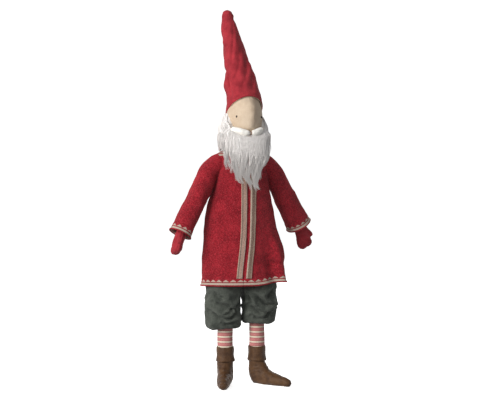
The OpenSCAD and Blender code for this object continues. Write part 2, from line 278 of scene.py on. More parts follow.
def subdivide(obj):
    modifier = obj.modifiers.new("smoothness", "SUBSURF")
    modifier.levels = modifier.render_levels = 1
    return apply_modifiers(obj)


def apply_modifiers(obj):
    graph = bpy.context.evaluated_depsgraph_get()
    graph.update()
    mesh = bpy.data.meshes.new_from_object(obj.evaluated_get(graph))
    obj.modifiers.clear()
    obj.data = mesh
    return obj


def remesh(obj, voxel, smooth_passes):
    modifier = obj.modifiers.new("remesh", "REMESH")
    modifier.mode = "VOXEL"
    modifier.voxel_size = voxel * MM
    modifier.use_smooth_shade = True
    soften = obj.modifiers.new("soften", "SMOOTH")
    soften.factor = 0.5
    soften.iterations = smooth_passes
    return apply_modifiers(obj)


def vertices_mm(obj):
    co = np.zeros(len(obj.data.vertices) * 3)
    obj.data.vertices.foreach_get("co", co)
    return (co.reshape(-1, 3) - ORIGIN) / MM


def move_vertices(obj, co):
    obj.data.vertices.foreach_set("co", row(co).ravel())
    obj.data.update()


def normals_of(obj):
    n = np.zeros(len(obj.data.vertices) * 3)
    obj.data.vertices.foreach_get("normal", n)
    return n.reshape(-1, 3)


def joined(name, objects):
    """One piece made of several."""
    with bpy.context.temp_override(active_object=objects[0], selected_editable_objects=objects):
        bpy.ops.object.join()
    objects[0].name = name
    return objects[0]


def frames_along(path):
    """Two sideways directions along a path, without twist."""
    tangent = unit(np.gradient(path, axis=0))
    side = np.cross(tangent[0], [0, 0, 1.0])
    if np.linalg.norm(side) < 0.1:
        side = np.array([1.0, 0, 0])
    sides = []
    for t in tangent:
        side = unit(side - t * (side @ t))
        sides.append(side)
    sides = np.array(sides)
    return sides, np.cross(tangent, sides)


def tube_points(path, radius, around, flat=1.0):
    """Rings of points about a path. flat below 1 thins the tube in its second direction."""
    path = np.asarray(path, float)
    radius = np.broadcast_to(radius, len(path))
    a, b = frames_along(path)
    angle = circle(around)[None, :, None]
    ring = np.cos(angle) * a[:, None] + flat * np.sin(angle) * b[:, None]
    return path[:, None] + ring * radius[:, None, None]


def curve(points, count):
    """A smooth path through a few points."""
    points = np.asarray(points, float)
    t = np.concatenate([[0], np.cumsum(np.linalg.norm(np.diff(points, axis=0), axis=1))])
    at = np.linspace(0, t[-1], count)
    return np.stack([hermite(at, t, points[:, k]) for k in range(3)], 1)


STRAND_ACROSS = np.array([0.31, 0.95, 0.05])      # a direction that no strand runs along


def closed_tube(name, path, radius, around):
    return weld(grid(name, closed_ends(tube_points(path, radius, around))))


def strand_bundle(name, paths, radii):
    """One mesh of many thin three-sided tubes. paths is (strands, steps, 3), radii is (strands, steps)."""
    strands, steps = paths.shape[:2]
    around = 3
    tangent = unit(np.gradient(paths, axis=1))
    a = unit(np.cross(tangent, STRAND_ACROSS))
    b = np.cross(tangent, a)
    angle = circle(around)
    p = (paths[:, :, None] + radii[:, :, None, None]
         * (np.cos(angle)[:, None] * a[:, :, None] + np.sin(angle)[:, None] * b[:, :, None]))
    s, k, i = np.meshgrid(np.arange(strands), np.arange(steps - 1), np.arange(around), indexing="ij")
    j = (i + 1) % around
    base = s * steps * around + k * around
    quads = np.stack([base + i, base + j, base + around + j, base + around + i], -1).reshape(-1, 4)
    length = np.linalg.norm(np.diff(paths, axis=1), axis=-1).cumsum(1)
    v = np.concatenate([np.zeros((strands, 1)), length], 1)
    u = np.broadcast_to(np.arange(strands)[:, None], v.shape)
    uv = np.stack([u, v], -1)
    corner = np.stack([uv[s, k], uv[s, k], uv[s, k + 1], uv[s, k + 1]], -2).reshape(-1, 4, 2)
    return new_object(name, p.reshape(-1, 3), quads, corner)


# ---- materials ----

class Value:
    """A node's output. Arithmetic on it adds Math nodes."""

    def __init__(self, nodes, socket):
        self.nodes, self.socket = nodes, socket

    def fract(self):
        return self.nodes.math("FRACT", self)

    def sine(self):
        return self.nodes.math("SINE", self)

    def __abs__(self):
        return self.nodes.math("ABSOLUTE", self)

    def __add__(self, other):
        return self.nodes.math("ADD", self, other)

    def __sub__(self, other):
        return self.nodes.math("SUBTRACT", self, other)

    def __rsub__(self, other):
        return self.nodes.math("SUBTRACT", other, self)

    def __mul__(self, other):
        return self.nodes.math("MULTIPLY", self, other)

    def __truediv__(self, other):
        return self.nodes.math("DIVIDE", self, other)

    def __pow__(self, other):
        return self.nodes.math("POWER", self, other)


class Nodes:
    """Short ways to build a node material."""

    def __init__(self, name):
        self.material = bpy.data.materials.new(name)
        self.material.use_nodes = True
        self.tree = self.material.node_tree
        self.shader = self.tree.nodes["Principled BSDF"]

    def put(self, socket, value):
        if isinstance(value, Value):
            self.tree.links.new(value.socket, socket)
        else:
            socket.default_value = value

    def out(self, kind, inputs=(), output=0, **settings):
        """One output of a new node."""
        node = self.tree.nodes.new(kind)
        for key, value in settings.items():
            setattr(node, key, value)
        for key, value in dict(inputs).items():
            self.put(node.inputs[key], value)
        return Value(self, node.outputs[output])

    def math(self, operation, a, b=0.0):
        return self.out("ShaderNodeMath", {0: a, 1: b}, operation=operation)

    def mix(self, share, a, b):
        return self.out("ShaderNodeMix", {0: share, 6: a, 7: b}, 2, data_type="RGBA")

    def ramp(self, value, low, high):
        """0 below low, 1 above high, smooth between."""
        return self.out("ShaderNodeMapRange", {"Value": value, "From Min": low, "From Max": high}, "Result",
                        interpolation_type="SMOOTHSTEP")

    def uv(self):
        """u and v in millimetres."""
        where = self.out("ShaderNodeUVMap", uv_map="UVMap")
        return [self.out("ShaderNodeSeparateXYZ", {0: where}, k) for k in (0, 1)]

    def place(self, scale=1000.0):
        """The point on the object, in millimetres when scale is 1000."""
        where = self.out("ShaderNodeTexCoord", output="Object")
        return self.out("ShaderNodeVectorMath", {0: where, "Scale": scale}, operation="SCALE")

    def vector(self, x, y):
        return self.out("ShaderNodeCombineXYZ", {0: x, 1: y})

    def noise(self, where, scale, detail=2.0, rough=0.5):
        return self.out("ShaderNodeTexNoise",
                        {"Vector": where, "Scale": scale, "Detail": detail, "Roughness": rough}, "Fac")

    def bump(self, height, distance, strength=1.0, normal=None):
        """Distance is in millimetres. A normal given here is bumped further."""
        inputs = {"Height": height, "Distance": distance * MM, "Strength": strength}
        if normal is not None:
            inputs["Normal"] = normal
        return self.out("ShaderNodeBump", inputs)

    def finish(self, colour, normal, roughness, sheen=0.0, sheen_tint=(1, 1, 1), **fixed):
        sockets = self.shader.inputs
        self.put(sockets["Base Color"], colour)
        self.put(sockets["Roughness"], roughness)
        if normal is not None:
            self.put(sockets["Normal"], normal)
        fixed = {"Sheen_Weight": sheen, "Sheen_Tint": (*sheen_tint, 1), "Sheen_Roughness": 0.45,
                 "Specular_IOR_Level": 0.2, **fixed}
        for key, value in fixed.items():
            sockets[key.replace("_", " ")].default_value = value
        return self.material


def rgb(r, g, b):
    """A colour as seen on screen, 0 to 255, in the renderer's linear units."""
    def linear(c):
        c /= 255
        return c / 12.92 if c <= 0.04045 else ((c + 0.055) / 1.055) ** 2.4
    return (linear(r), linear(g), linear(b), 1.0)


COAT_DARK, COAT_LIGHT, COAT_FLECK = rgb(142, 19, 35), rgb(214, 49, 64), rgb(228, 112, 120)
COAT_STITCH = (2.3, 1.9)        # width and height of a knitted stitch, in mm
BORDER_STITCH = (2.2, 1.7)
BORDER_PITCH = 10.3             # from one triangle of the border to the next
STRIPE_REPEAT = 8.5             # of the stocking cloth
GREY, PINK_BEIGE = rgb(138, 122, 110), rgb(206, 168, 152)
CREAM, TWEED, BEIGE = rgb(222, 202, 184), rgb(140, 116, 100), rgb(208, 176, 156)


def stitch_height(n, u, v, stitch):
    """The relief of stockinette: columns of V shaped stitches."""
    across = abs((u / stitch[0]).fract() - 0.5)
    leg = abs((v / stitch[1] - across * 1.5).fract() - 0.5)
    round_leg = 1.0 - (leg * 2.0) ** 2.0
    groove = 1.0 - (across * 2.0) ** 6.0
    return round_leg * groove * (n.ramp(across, 0.0, 0.09) * 0.5 + 0.5)


def red_yarn(n):
    """Yarn of two shades of red with a few paler hairs."""
    where = n.place()
    shade = n.noise(where, 0.05, 3.0) * 0.2 + n.noise(where, 0.42, 4.0, 0.85) * 0.8
    tone = n.mix(n.ramp(shade, 0.42, 0.58), COAT_DARK, COAT_LIGHT)
    return n.mix(n.ramp(n.noise(where, 0.7, 3.0, 0.85), 0.56, 0.68) * 0.5, tone, COAT_FLECK)


def knit_normal(n, height):
    """Stitches with fuzz over them."""
    return n.bump(n.noise(n.place(), 2.2, 4.0, 0.7), 0.5, 0.5, n.bump(height, 0.9, 0.9))


def knit_material(name):
    n = Nodes(name)
    height = stitch_height(n, *n.uv(), COAT_STITCH)
    # The hollows between stitches are darkened towards a deep red: painted shade.
    colour = n.mix((1.0 - height) * 0.55, red_yarn(n), rgb(96, 6, 16))
    return n.finish(colour, knit_normal(n, height), 0.95, 0.07, (1.0, 0.45, 0.45))


def bell(n, value, centre, width):
    """1 at the centre, falling to 0 at the width on both sides."""
    return 1.0 - n.ramp(abs(value - centre), 0.0, width)


def border_material(name):
    """The patterned knit: from the edge up a red roll, a cream stripe, a red line and a row of cream triangles."""
    n = Nodes(name)
    u, v = n.uv()
    height = stitch_height(n, u, v, BORDER_STITCH)
    level = v + (n.noise(n.place(), 0.5, 2.0) - 0.5) * 0.9
    stripe = n.ramp(level, 2.2, 2.7) * (1.0 - n.ramp(level, 5.5, 6.0))
    from_peak = abs((u / BORDER_PITCH).fract() - 0.5) * 2.0
    top = (1.0 - from_peak) * 3.9 + 7.3
    triangle = n.ramp(level, 7.3, 7.7) * (1.0 - n.ramp(level - top, -0.35, 0.35))
    cream = n.mix(n.noise(n.place(), 0.8, 2.0), rgb(212, 190, 172), rgb(238, 224, 208))
    colour = n.mix(n.math("MAXIMUM", stripe, triangle), red_yarn(n), cream)
    outline = bell(n, level, 1.9, 0.5) + bell(n, level, 6.6, 0.5)
    colour = n.mix(outline * 0.5, colour, rgb(92, 64, 56))
    # The hollows between stitches are darkened: painted shade.
    colour = n.mix((1.0 - height) * 0.3, colour, rgb(96, 24, 28))
    return n.finish(colour, knit_normal(n, height), 0.95, 0.07, (1.0, 0.6, 0.6))


def weave_height(u, v, pitch, twill=0.0):
    """Threads over and under each other. twill slants them."""
    turns = 2 * math.pi / pitch
    return ((u + v * twill) * turns).sine() * (v * turns).sine() * 0.5 + 0.5


def band_material(name, stripes):
    """A woven band. stripes is a list of (edge in mm, colour on the far side of it), from the left edge."""
    n = Nodes(name)
    u, v = n.uv()
    across = u + (n.noise(n.place(), 0.7, 2.0) - 0.5) * 0.7
    colour = stripes[0][1]
    for at, shade in stripes[1:]:
        colour = n.mix(n.ramp(across, at - 0.2, at + 0.2), colour, shade)
    height = weave_height(u, v, 1.5, 0.6)
    speckle = n.noise(n.vector(u, v * 0.7), 0.75, 4.0, 0.9)
    colour = n.mix(n.ramp(speckle, 0.46, 0.60) * 0.62, colour, rgb(104, 76, 70))
    colour = n.mix((1.0 - n.ramp(speckle, 0.38, 0.48)) * 0.5, colour, rgb(226, 202, 184))
    # The hollows of the weave are darkened: painted shade.
    colour = n.mix((1.0 - height) * 0.25, colour, rgb(92, 48, 48))
    return n.finish(colour, n.bump(speckle, 0.3, 0.5, n.bump(height, 0.5, 0.8)), 0.88, 0.3)


def felt_material(name, dark, light, sheen_tint, sheen):
    """Soft woven wool, with a nap and cloudy shade."""
    n = Nodes(name)
    where = n.place()
    weave = weave_height(*n.uv(), 1.25, 0.45)
    nap, cloud = n.noise(where, 1.1, 5.0, 0.72), n.noise(where, 0.06, 3.0, 0.6)
    colour = n.mix(n.ramp(cloud * 0.45 + nap * 0.55, 0.34, 0.66), dark, light)
    # The hollows of the weave are darkened: painted shade.
    colour = n.mix((1.0 - weave) * 0.22, colour, dark)
    return n.finish(colour, n.bump(nap, 0.7, 0.55, n.bump(weave, 0.35, 0.6)), 0.92, sheen, sheen_tint)


def linen_material(name, dark, light, pitch, slub_and_hollow_shade, sheen=0.15, roughness=0.85, relief=0.25):
    """Plain woven cloth with uneven threads."""
    n = Nodes(name)
    u, v = n.uv()
    weave = weave_height(u, v, pitch)
    threads = (n.noise(n.vector(u * 0.12, v), 1.2, 3.0, 0.65) + n.noise(n.vector(u, v * 0.12), 1.2, 3.0, 0.65)) * 0.5
    shade = threads * 0.6 + n.noise(n.place(), 0.05, 2.0) * 0.4
    colour = n.mix(n.ramp(shade, 0.36, 0.64), dark, light)
    # The hollows of the weave are darkened: painted shade. The same strength also sets how far the uneven threads
    # stand out.
    colour = n.mix((1.0 - weave) * (slub_and_hollow_shade * 0.5), colour, dark)
    normal = n.bump(threads, relief, slub_and_hollow_shade, n.bump(weave, relief * 0.8, 0.6))
    return n.finish(colour, normal, roughness, sheen)


def stripe_material(name):
    """Woven stocking cloth: cream lines on pinkish red, each red stripe with darker borders."""
    n = Nodes(name)
    u, v = n.uv()
    wobble = (n.noise(n.place(), 0.4, 2.0) - 0.5) * 0.5
    from_line = abs(((v + wobble) / STRIPE_REPEAT).fract() - 0.5) * STRIPE_REPEAT
    red = n.ramp(from_line, 1.15, 1.6)
    thread = n.noise(n.vector(u, v * 0.5), 1.6, 3.0, 0.7)
    pink = n.mix(n.ramp(thread, 0.35, 0.65), rgb(184, 106, 107), rgb(218, 150, 145))
    colour = n.mix(red, n.mix(thread, rgb(222, 208, 184), rgb(240, 230, 208)), pink)
    colour = n.mix(red * (1.0 - n.ramp(from_line, 2.0, 2.6)) * 0.65, colour, rgb(160, 62, 70))
    weave = weave_height(u, v, 1.1)
    # The hollows of the weave are darkened: painted shade.
    colour = n.mix((1.0 - weave) * 0.18, colour, rgb(120, 66, 66))
    return n.finish(colour, n.bump(thread, 0.3, 0.4, n.bump(weave, 0.3, 0.7)), 0.88, 0.2)


def wool_material(name, dark, light):
    """Each hair has its own shade, which changes a little along it."""
    n = Nodes(name)
    u, v = n.uv()
    each = n.noise(n.vector(u * 7.31, v * 0.02), 1.0, 1.0)
    along = n.noise(n.vector(u * 3.1, v * 0.25), 1.0, 2.0)
    colour = n.mix(n.ramp(each * 0.7 + along * 0.3, 0.3, 0.62), dark, light)
    return n.finish(colour, None, 0.62, 0.3, Subsurface_Weight=0.25, Subsurface_Scale=0.004,
                    Subsurface_Radius=(1.0, 0.95, 0.9))


def leather_material(name):
    """Soft brown leather: mottled, grained, scuffed in patches."""
    n = Nodes(name)
    where = n.place()
    cells, crease = [n.out("ShaderNodeTexVoronoi", {"Vector": where, "Scale": scale}, "Distance", feature=feature)
                     for scale, feature in ((0.95, "F1"), (0.55, "DISTANCE_TO_EDGE"))]
    mottle, patch = n.noise(where, 0.10, 5.0, 0.65), n.noise(where, 0.032, 3.0, 0.6)
    colour = n.mix(n.ramp(mottle * 0.6 + patch * 0.4, 0.36, 0.66), rgb(63, 40, 24), rgb(96, 67, 42))
    scuff = n.ramp(n.noise(where, 0.33, 4.0, 0.7), 0.56, 0.75)
    colour = n.mix(scuff * 0.35, colour, rgb(122, 92, 66))
    colour = n.mix((1.0 - n.ramp(crease, 0.0, 0.1)) * 0.3, colour, rgb(44, 28, 18))
    roughness = n.out("ShaderNodeMapRange", {"Value": mottle, "To Min": 0.42, "To Max": 0.62}, "Result")
    grain = cells * -0.5 + n.ramp(crease, 0.0, 0.12) * 0.5
    return n.finish(colour, n.bump(grain, 0.28, 0.6, n.bump(mottle, 1.2, 0.35)), roughness)


def thread_material(name, colour):
    n = Nodes(name)
    u, v = n.uv()
    twist = ((u * 2.0 + v) * 5.0).sine()
    # The grooves of the twist are darkened: painted shade.
    shade = n.mix(n.ramp(twist, -1.0, 0.6), tuple(c * 0.45 for c in colour[:3]) + (1,), colour)
    return n.finish(shade, n.bump(twist, 0.15, 0.8), 0.8, 0.2)


RED_KNIT = knit_material("red_knit")
BORDER_KNIT = border_material("border_knit")
# The bands from the doll's right edge of each to its left.
BANDS = {"right": band_material("band_right", [(0, BEIGE), (1.2, GREY), (3.4, PINK_BEIGE), (8.4, CREAM)]),
         "left": band_material("band_left", [(0, CREAM), (2.2, TWEED), (7.4, BEIGE)])}
HAT_CLOTH = felt_material("hat_cloth", rgb(129, 28, 39), rgb(188, 56, 66), (1.0, 0.6, 0.6), 0.1)
MITTEN_CLOTH = felt_material("mitten_cloth", rgb(134, 28, 38), rgb(182, 54, 64), (1.0, 0.65, 0.65), 0.06)
FACE_LINEN = linen_material("face_linen", rgb(197, 175, 151), rgb(214, 196, 174), 0.7, 0.3, 0.05)
LINEN = linen_material("linen", rgb(214, 186, 156), rgb(234, 212, 186), 0.8, 0.4, 0.1)
WHITE_FELT = linen_material("white_felt", rgb(238, 234, 226), rgb(252, 250, 245), 0.6, 0.25, 0.35)
TROUSER_CLOTH = linen_material("trouser_cloth", rgb(53, 57, 52), rgb(92, 96, 89), 0.9, 0.4, 0.06, 0.9, 0.35)
ELASTIC = linen_material("elastic", rgb(186, 174, 156), rgb(222, 212, 196), 1.2, 0.4)
STRIPED_CLOTH = stripe_material("striped_cloth")
BEARD_WOOL = wool_material("beard_wool", rgb(222, 216, 213), rgb(250, 247, 245))
LEATHER = leather_material("boot_leather")
TAN_THREAD = thread_material("tan_thread", rgb(206, 172, 142))
DARK_THREAD = thread_material("dark_thread", rgb(46, 34, 29))


def dress(obj, material, body=None, replaces=()):
    """Material, body and the CAD nodes that a piece stands for."""
    obj.data.materials.clear()
    obj.data.materials.append(material)
    if body:
        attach(obj, body)
    if replaces:
        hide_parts(*replaces)
    return obj


# ---- camera, light and floor ----

def look_at(obj, target):
    obj.rotation_euler = (Vector(target) - obj.location).to_track_quat("-Z", "Y").to_euler()


def make_camera():
    azimuth, distance, height = math.radians(-14), 1.94, 0.3136
    data = bpy.data.cameras.new("camera")
    data.lens, data.sensor_width = 85, 36
    data.clip_start, data.clip_end = 0.05, 50
    data.shift_x = -1 / 480         # one column of a picture 480 wide
    camera = linked("camera", data)
    target = Vector(ORIGIN) + Vector((0, 0, height))
    camera.location = target + distance * Vector((math.sin(azimuth), -math.cos(azimuth), 0))
    look_at(camera, target)
    bpy.context.scene.camera = camera


def area_light(name, place, size, power, colour=(1, 1, 1)):
    data = bpy.data.lights.new(name, "AREA")
    data.shape, data.size, data.size_y = "RECTANGLE", size[0], size[1]
    data.energy, data.color = power, colour
    light = linked(name, data)
    light.location = place
    look_at(light, (0, 0, 0.3))


def make_floor():
    """A round white bowl, in metres: the floor, curving up into a wall."""
    flat, bend, wall_top, around = 5.0, 1.0, 5.0, 96
    profile = [(1e-5, 0.0)] + [(flat + bend * math.sin(a), bend - bend * math.cos(a))
                               for a in np.linspace(0, math.pi / 2, 16)] + [(flat + bend, wall_top)]
    verts = np.array([(r * math.cos(a), r * math.sin(a), z) for r, z in profile for a in circle(around)])
    faces = np.array([(i * around + k, i * around + (k + 1) % around, (i + 1) * around + (k + 1) % around,
                       (i + 1) * around + k) for i in range(len(profile) - 1) for k in range(around)])
    floor = linked("floor", smooth_mesh("floor", verts, faces))
    floor.visible_diffuse = floor.visible_shadow = False
    n = Nodes("paper")
    shade = n.mix(n.noise(n.place(1.0), 3.0, 2.0), (0.92, 0.92, 0.92, 1), (0.95, 0.95, 0.95, 1))
    floor.data.materials.append(n.finish(shade, None, 0.9, Emission_Color=(1, 1, 1, 1), Emission_Strength=0.75))


def make_studio():
    scene = bpy.context.scene
    scene.view_settings.view_transform = "Standard"
    scene.world = bpy.data.worlds.new("studio")
    scene.world.use_nodes = True
    background = scene.world.node_tree.nodes["Background"]
    background.inputs["Color"].default_value = (1, 1, 1, 1)
    background.inputs["Strength"].default_value = 0.30
    area_light("key", (-1.75, -1.0, 1.0), (0.8, 1.1), 49, (1.0, 0.985, 0.96))
    area_light("front", (-0.6, -2.4, 0.9), (1.4, 1.4), 3)
    area_light("top", (0.0, 0.5, 1.9), (1.2, 1.0), 4)
    area_light("back", (0.9, 2.3, 1.0), (1.4, 1.2), 14)
    make_floor()


# ---- coat ----

# Height, middle x, middle y, half width and half depth of the coat, from the hem to the neck.
COAT = np.array([
    (HEM_Z, 3.7, 0, 74.8, 38.6), (HEM_TOP, 3.5, 0, 73.6, 38.2), (210, 3.3, 0, 72.0, 37.2), (240, 2.4, 0, 68.8, 36.2),
    (265, -0.6, 0, 64.2, 35.2), (300, -2.2, 0, 58.2, 33.4), (325, -0.9, 0, 51.8, 32.3), (344, 0, 0, 47.6, 31.6),
    (362, 0, -0.5, 46, 30.8), (378, 0, -1, 46.5, 28.4), (389, 0.5, -1.5, 45, 25.6), (397, 1.5, -2.5, 37, 22.5),
    (402, 3, -4.5, 27.5, 19)])
COAT_GIRTH = 2 * math.pi * 58.0
YOKE_LOW, YOKE_TOP = 386, 396.5
BAND_GAP, BAND_WIDTH, BAND_TOP = 6.4, 9.8, 397


def placket_x(z):
    """Where the coat's front opening is: upright at the chest, swinging to the doll's right below."""
    return hermite(z, (HEM_Z, 190, 215, 240, 270, 402), (-5.0, -3.2, -0.4, 2.4, 4.2, 6.0))


def coat_point(angle, z, lift=0.0):
    """The coat's surface at an angle (0 is the doll's left, -90 degrees its front) and a height, with its folds."""
    cx, cy, wide, deep = at_height(COAT, z)
    hang = 1 - smoothstep(z, HEM_Z + 20, 335)
    folds = (1.7 * np.cos(3 * angle + 0.9) + 1.2 * np.cos(5 * angle + 2.3) + 0.8 * np.cos(8 * angle + 4.2)) * hang
    deg = (np.degrees(angle) + 180) % 360 - 180
    folds += 4.6 * bump(deg, -31 - 0.16 * (z - HEM_Z), 7.0) * (1 - smoothstep(z, 205, 290))
    folds -= 4.0 * bump(deg, -49 - 0.20 * (z - HEM_Z), 8) * (1 - smoothstep(z, 195, 270))
    folds -= 1.8 * bump(deg, -12, 9) * (1 - smoothstep(z, 200, 300))
    folds += 1.3 * bump(deg, -128 + 0.05 * (z - HEM_Z), 10) * (1 - smoothstep(z, 200, 280))
    folds += 2.6 * bump(z, 226, 18) * bump(deg, -24, 26) - 2.6 * bump(z, 203, 8) * bump(deg, -42, 24)
    folds -= 1.6 * bump(z, 216 + 0.5 * (deg + 60), 4) * bump(deg, -58, 22)
    folds = folds * (1 - 0.75 * bump(deg, -90, 24))
    flat = ellipse(angle, z, cx, cy, wide, deep)
    folds = folds + 0.55 * ripple(flat, 46, 5, (1, 1, 1.8)) + 0.3 * ripple(flat, 19, 6, (1, 1, 1.5))
    ribs = 0.6 * np.sin(angle * 62) * smoothstep(z, 366, 376) * (1 - smoothstep(z, 388, 393))
    z = z + 5.0 * smoothstep(flat[..., 0], 12, 68) * (1 - smoothstep(z, HEM_TOP, HEM_TOP + 60))
    out = (folds + ribs + lift) / np.sqrt((np.cos(angle) / wide) ** 2 + (np.sin(angle) / deep) ** 2)
    return ellipse(angle, z, cx, cy, wide + out / wide, deep + out / deep)


def front_angle(x, z):
    """The angle at which the coat's front has this x."""
    cx, _, wide, _ = at_height(COAT, z)
    return -np.arccos(np.clip((x - cx) / wide, -1, 1))


def half_coat(name, side, low, high, rows, columns, thickness, lift=lambda z: 0.0, v_start=0.0):
    """One side of the coat between two heights, from the front opening round to the middle of the back.

    lift gives how far it stands off at a height, and v_start is the height at which the pattern starts."""
    z = np.linspace(low, high, rows)[:, None]
    share = np.linspace(0, 1, columns)[None, :]
    back = math.pi / 2
    opening = front_angle(placket_x(z) + side * 0.01, z)
    if side == LEFT:
        angle = opening + (back - opening) * share
    else:
        angle = back + (2 * math.pi + opening - back) * share
    z = z + 0 * share
    uv = np.stack([angle * COAT_GIRTH / (2 * math.pi), z - v_start], -1)
    return thicken(grid(name, coat_point(angle, z, lift(z)), wrap=False, uv=uv), thickness)


def bend_with_leg(obj):
    """Bakes the piece's placement into its mesh."""
    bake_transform(obj)


def roll_edge(z):
    """The border's lower edge curls outward."""
    return 0.35 + 1.5 * bump(z, HEM_Z + 0.9, 1.5)


def make_front_band(name, side):
    z = np.linspace(HEM_TOP + 0.5, BAND_TOP, 150)[:, None]
    share = np.linspace(0, 1, 12)[None, :]
    inner = placket_x(z) + side * BAND_GAP / 2
    across = BAND_WIDTH * share + 0 * z
    angle = front_angle(np.minimum(inner, inner + side * BAND_WIDTH) + across, z)
    z = z + 0 * share
    p = coat_point(angle, z, 1.0 + 0.25 * np.sin(math.pi * share))
    return thicken(grid(f"front_band_{name}", p, wrap=False, uv=np.stack([across, z], -1)), 1.2)


def make_coat():
    for name, side in SIDES:
        coat = half_coat(f"coat_{name}", side, HEM_TOP - 0.4, COAT[-1, 0], 130, 96, 1.5)
        dress(coat, RED_KNIT, None, (f"coat_skirt_{name}", "coat_body"))
        border = half_coat(f"coat_border_{name}", side, HEM_Z, HEM_TOP, 14, 120, 2.0, roll_edge, HEM_Z)
        dress(border, BORDER_KNIT, None, (f"coat_hem_{name}",))
        yoke = half_coat(f"coat_yoke_{name}", side, YOKE_LOW, YOKE_TOP, 20, 96, 1.2, lambda z: 0.5, YOKE_LOW)
        dress(yoke, BORDER_KNIT, "torso")
        band = make_front_band(name, side)
        dress(band, BANDS[name], None, (f"front_band_{name}",))
        for piece in (coat, border, band):
            bend_with_leg(piece)


def make_collar():
    """The knitted band round the neck, folded over."""
    angle = circle(96)
    height = 402.6 + 1.2 * np.sin(angle) + 0.4 * np.sin(5 * angle)
    around = circle(14)[:, None]
    outward = 2.6 * np.cos(around)
    p = ellipse(angle, height + 3.2 * np.sin(around), 3, -4.5, 24.5 + outward, 18.5 + outward)
    p = np.concatenate([p, p[:1]])
    u, v = np.meshgrid(np.linspace(0, 136, 97), np.linspace(-2, 17, 15))
    collar = weld(grid("neck_band", p, uv=np.stack([u, v], -1), flip=True))
    dress(collar, BORDER_KNIT, "torso", ("neck_band",))


def make_torso():
    """The stuffed linen body inside the coat, with the neck that the head is sewn to."""
    rings = np.array([(206, 0, 40, 2), (214, 0, 43, 9), (232, 0, 45, 20), (270, 0, 42, 24), (320, 0, 38, 24),
                      (350, 0, 36, 21.5), (372, -1, 34, 19), (386, -3, 27, 16.5), (394, -5, 17, 14),
                      (400, -6, 11.5, 11.5), (422, -6, 10.6, 10.6)])
    z = np.linspace(206, 422, 90)[:, None]
    p = ellipse(circle(72), z, smoothstep(z, 372, 400) * NECK[0], *at_height(rings, z))
    torso = weld(grid("torso", with_ends(raised(p, 0.5 * ripple(p, 30, 11)))))
    dress(torso, LINEN, "torso", ("torso_skin", "torso_filling", "neck"))


# ---- sleeves, arms and mittens ----

ARM_OUT = {LEFT: math.radians(30), RIGHT: math.radians(27)}
ARM_SWING = {LEFT: math.radians(-16), RIGHT: math.radians(12)}
SLEEVE_LENGTH = {LEFT: 115.0, RIGHT: 125.0}
SLEEVE_RADIUS = 17.6
SLEEVE_FLARE = {LEFT: 4.2, RIGHT: 0.6}
CUFF_HEIGHT = 12.5
WRIST = 117.0
HAND_BEND = math.radians(8)


def along_arm(points, side):
    """From the arm's own frame, which hangs from the shoulder along -Z, to the doll's."""
    p = np.asarray(points, float)
    out, swing = side * ARM_OUT[side], ARM_SWING[side]
    x = p[..., 0] * math.cos(out) - p[..., 2] * math.sin(out)
    z = p[..., 0] * math.sin(out) + p[..., 2] * math.cos(out)
    y = p[..., 1] * math.cos(swing) + z * math.sin(swing)
    z = -p[..., 1] * math.sin(swing) + z * math.cos(swing)
    return np.stack([x, y, z], -1) + SHOULDER[side]


def sleeve_radius(side, s):
    return SLEEVE_RADIUS + SLEEVE_FLARE[side] * np.clip(s / SLEEVE_LENGTH[side], 0, 1)


def make_sleeve(name, side):
    length = SLEEVE_LENGTH[side]
    down = [along_arm((0, 0, -s), side) for s in (length - CUFF_HEIGHT + 0.3, 92, 70, 48, 26, 6)]
    neck = [(side * 41 + 0.5, -0.8, 375), (side * 29 + 1.5, -2.2, 383.5), (side * 17 + 2.5, -3.6, 389)]
    path = curve(np.array([*down, *neck]), 120)
    travel = np.concatenate([[0], np.cumsum(np.linalg.norm(np.diff(path, axis=0), axis=1))])
    share = travel / travel[-1]
    s = length - CUFF_HEIGHT - travel
    radius = np.where(s > 0, sleeve_radius(side, s), SLEEVE_RADIUS)
    radius = radius * (1 - 0.42 * smoothstep(share, 0.80, 1.0))
    p = tube_points(path, radius, 84)
    hang = ripple(p, 38, 21 + side, (1, 1, 1.7)) * 0.7 + ripple(p, 17, 25 + side, (1, 1, 1.6)) * 0.3
    elbow = bump(s, 52, 12)[:, None] * ripple(p, 15, 31 + side, (2.2, 2.2, 1)) * 0.6
    fade = (0.25 + 0.75 * smoothstep(travel, 0, 14)) * (0.4 + 0.6 * smoothstep(s, 5, 30))
    p = raised(p, (hang + elbow) * fade[:, None])
    sleeve = grid(f"sleeve_{name}", p, flip=faces_in(p))
    thicken(sleeve, 1.4)
    dress(sleeve, RED_KNIT, None, (f"sleeve_{name}",))
    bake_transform(sleeve)


def rings_in_arm(s, radius, around, side):
    """Rings round the arm at the distances s from the shoulder."""
    radius = radius[:, None]
    return along_arm(ellipse(circle(around), -s[:, None], 0, 0, radius, radius), side)


def make_cuff(name, side):
    """The patterned border at the sleeve's end, with its edge curling out."""
    length = SLEEVE_LENGTH[side]
    height = np.linspace(0, CUFF_HEIGHT, 16)
    radius = sleeve_radius(side, length - height) + 0.45 + 1.5 * bump(height, 0.9, 1.5)
    p = rings_in_arm(length - height, radius, 84, side)
    p = raised(p, ripple(p, 38, 21 + side, (1, 1, 1.7)) * 0.5)
    around = 2 * math.pi * sleeve_radius(side, length)
    u, v = np.meshgrid(np.linspace(0, around, p.shape[1] + 1), height)
    cuff = grid(f"sleeve_border_{name}", p, uv=np.stack([u, v], -1), flip=faces_in(p))
    thicken(cuff, 1.9)
    dress(cuff, BORDER_KNIT, f"arm_{name}", (f"sleeve_cuff_{name}",))


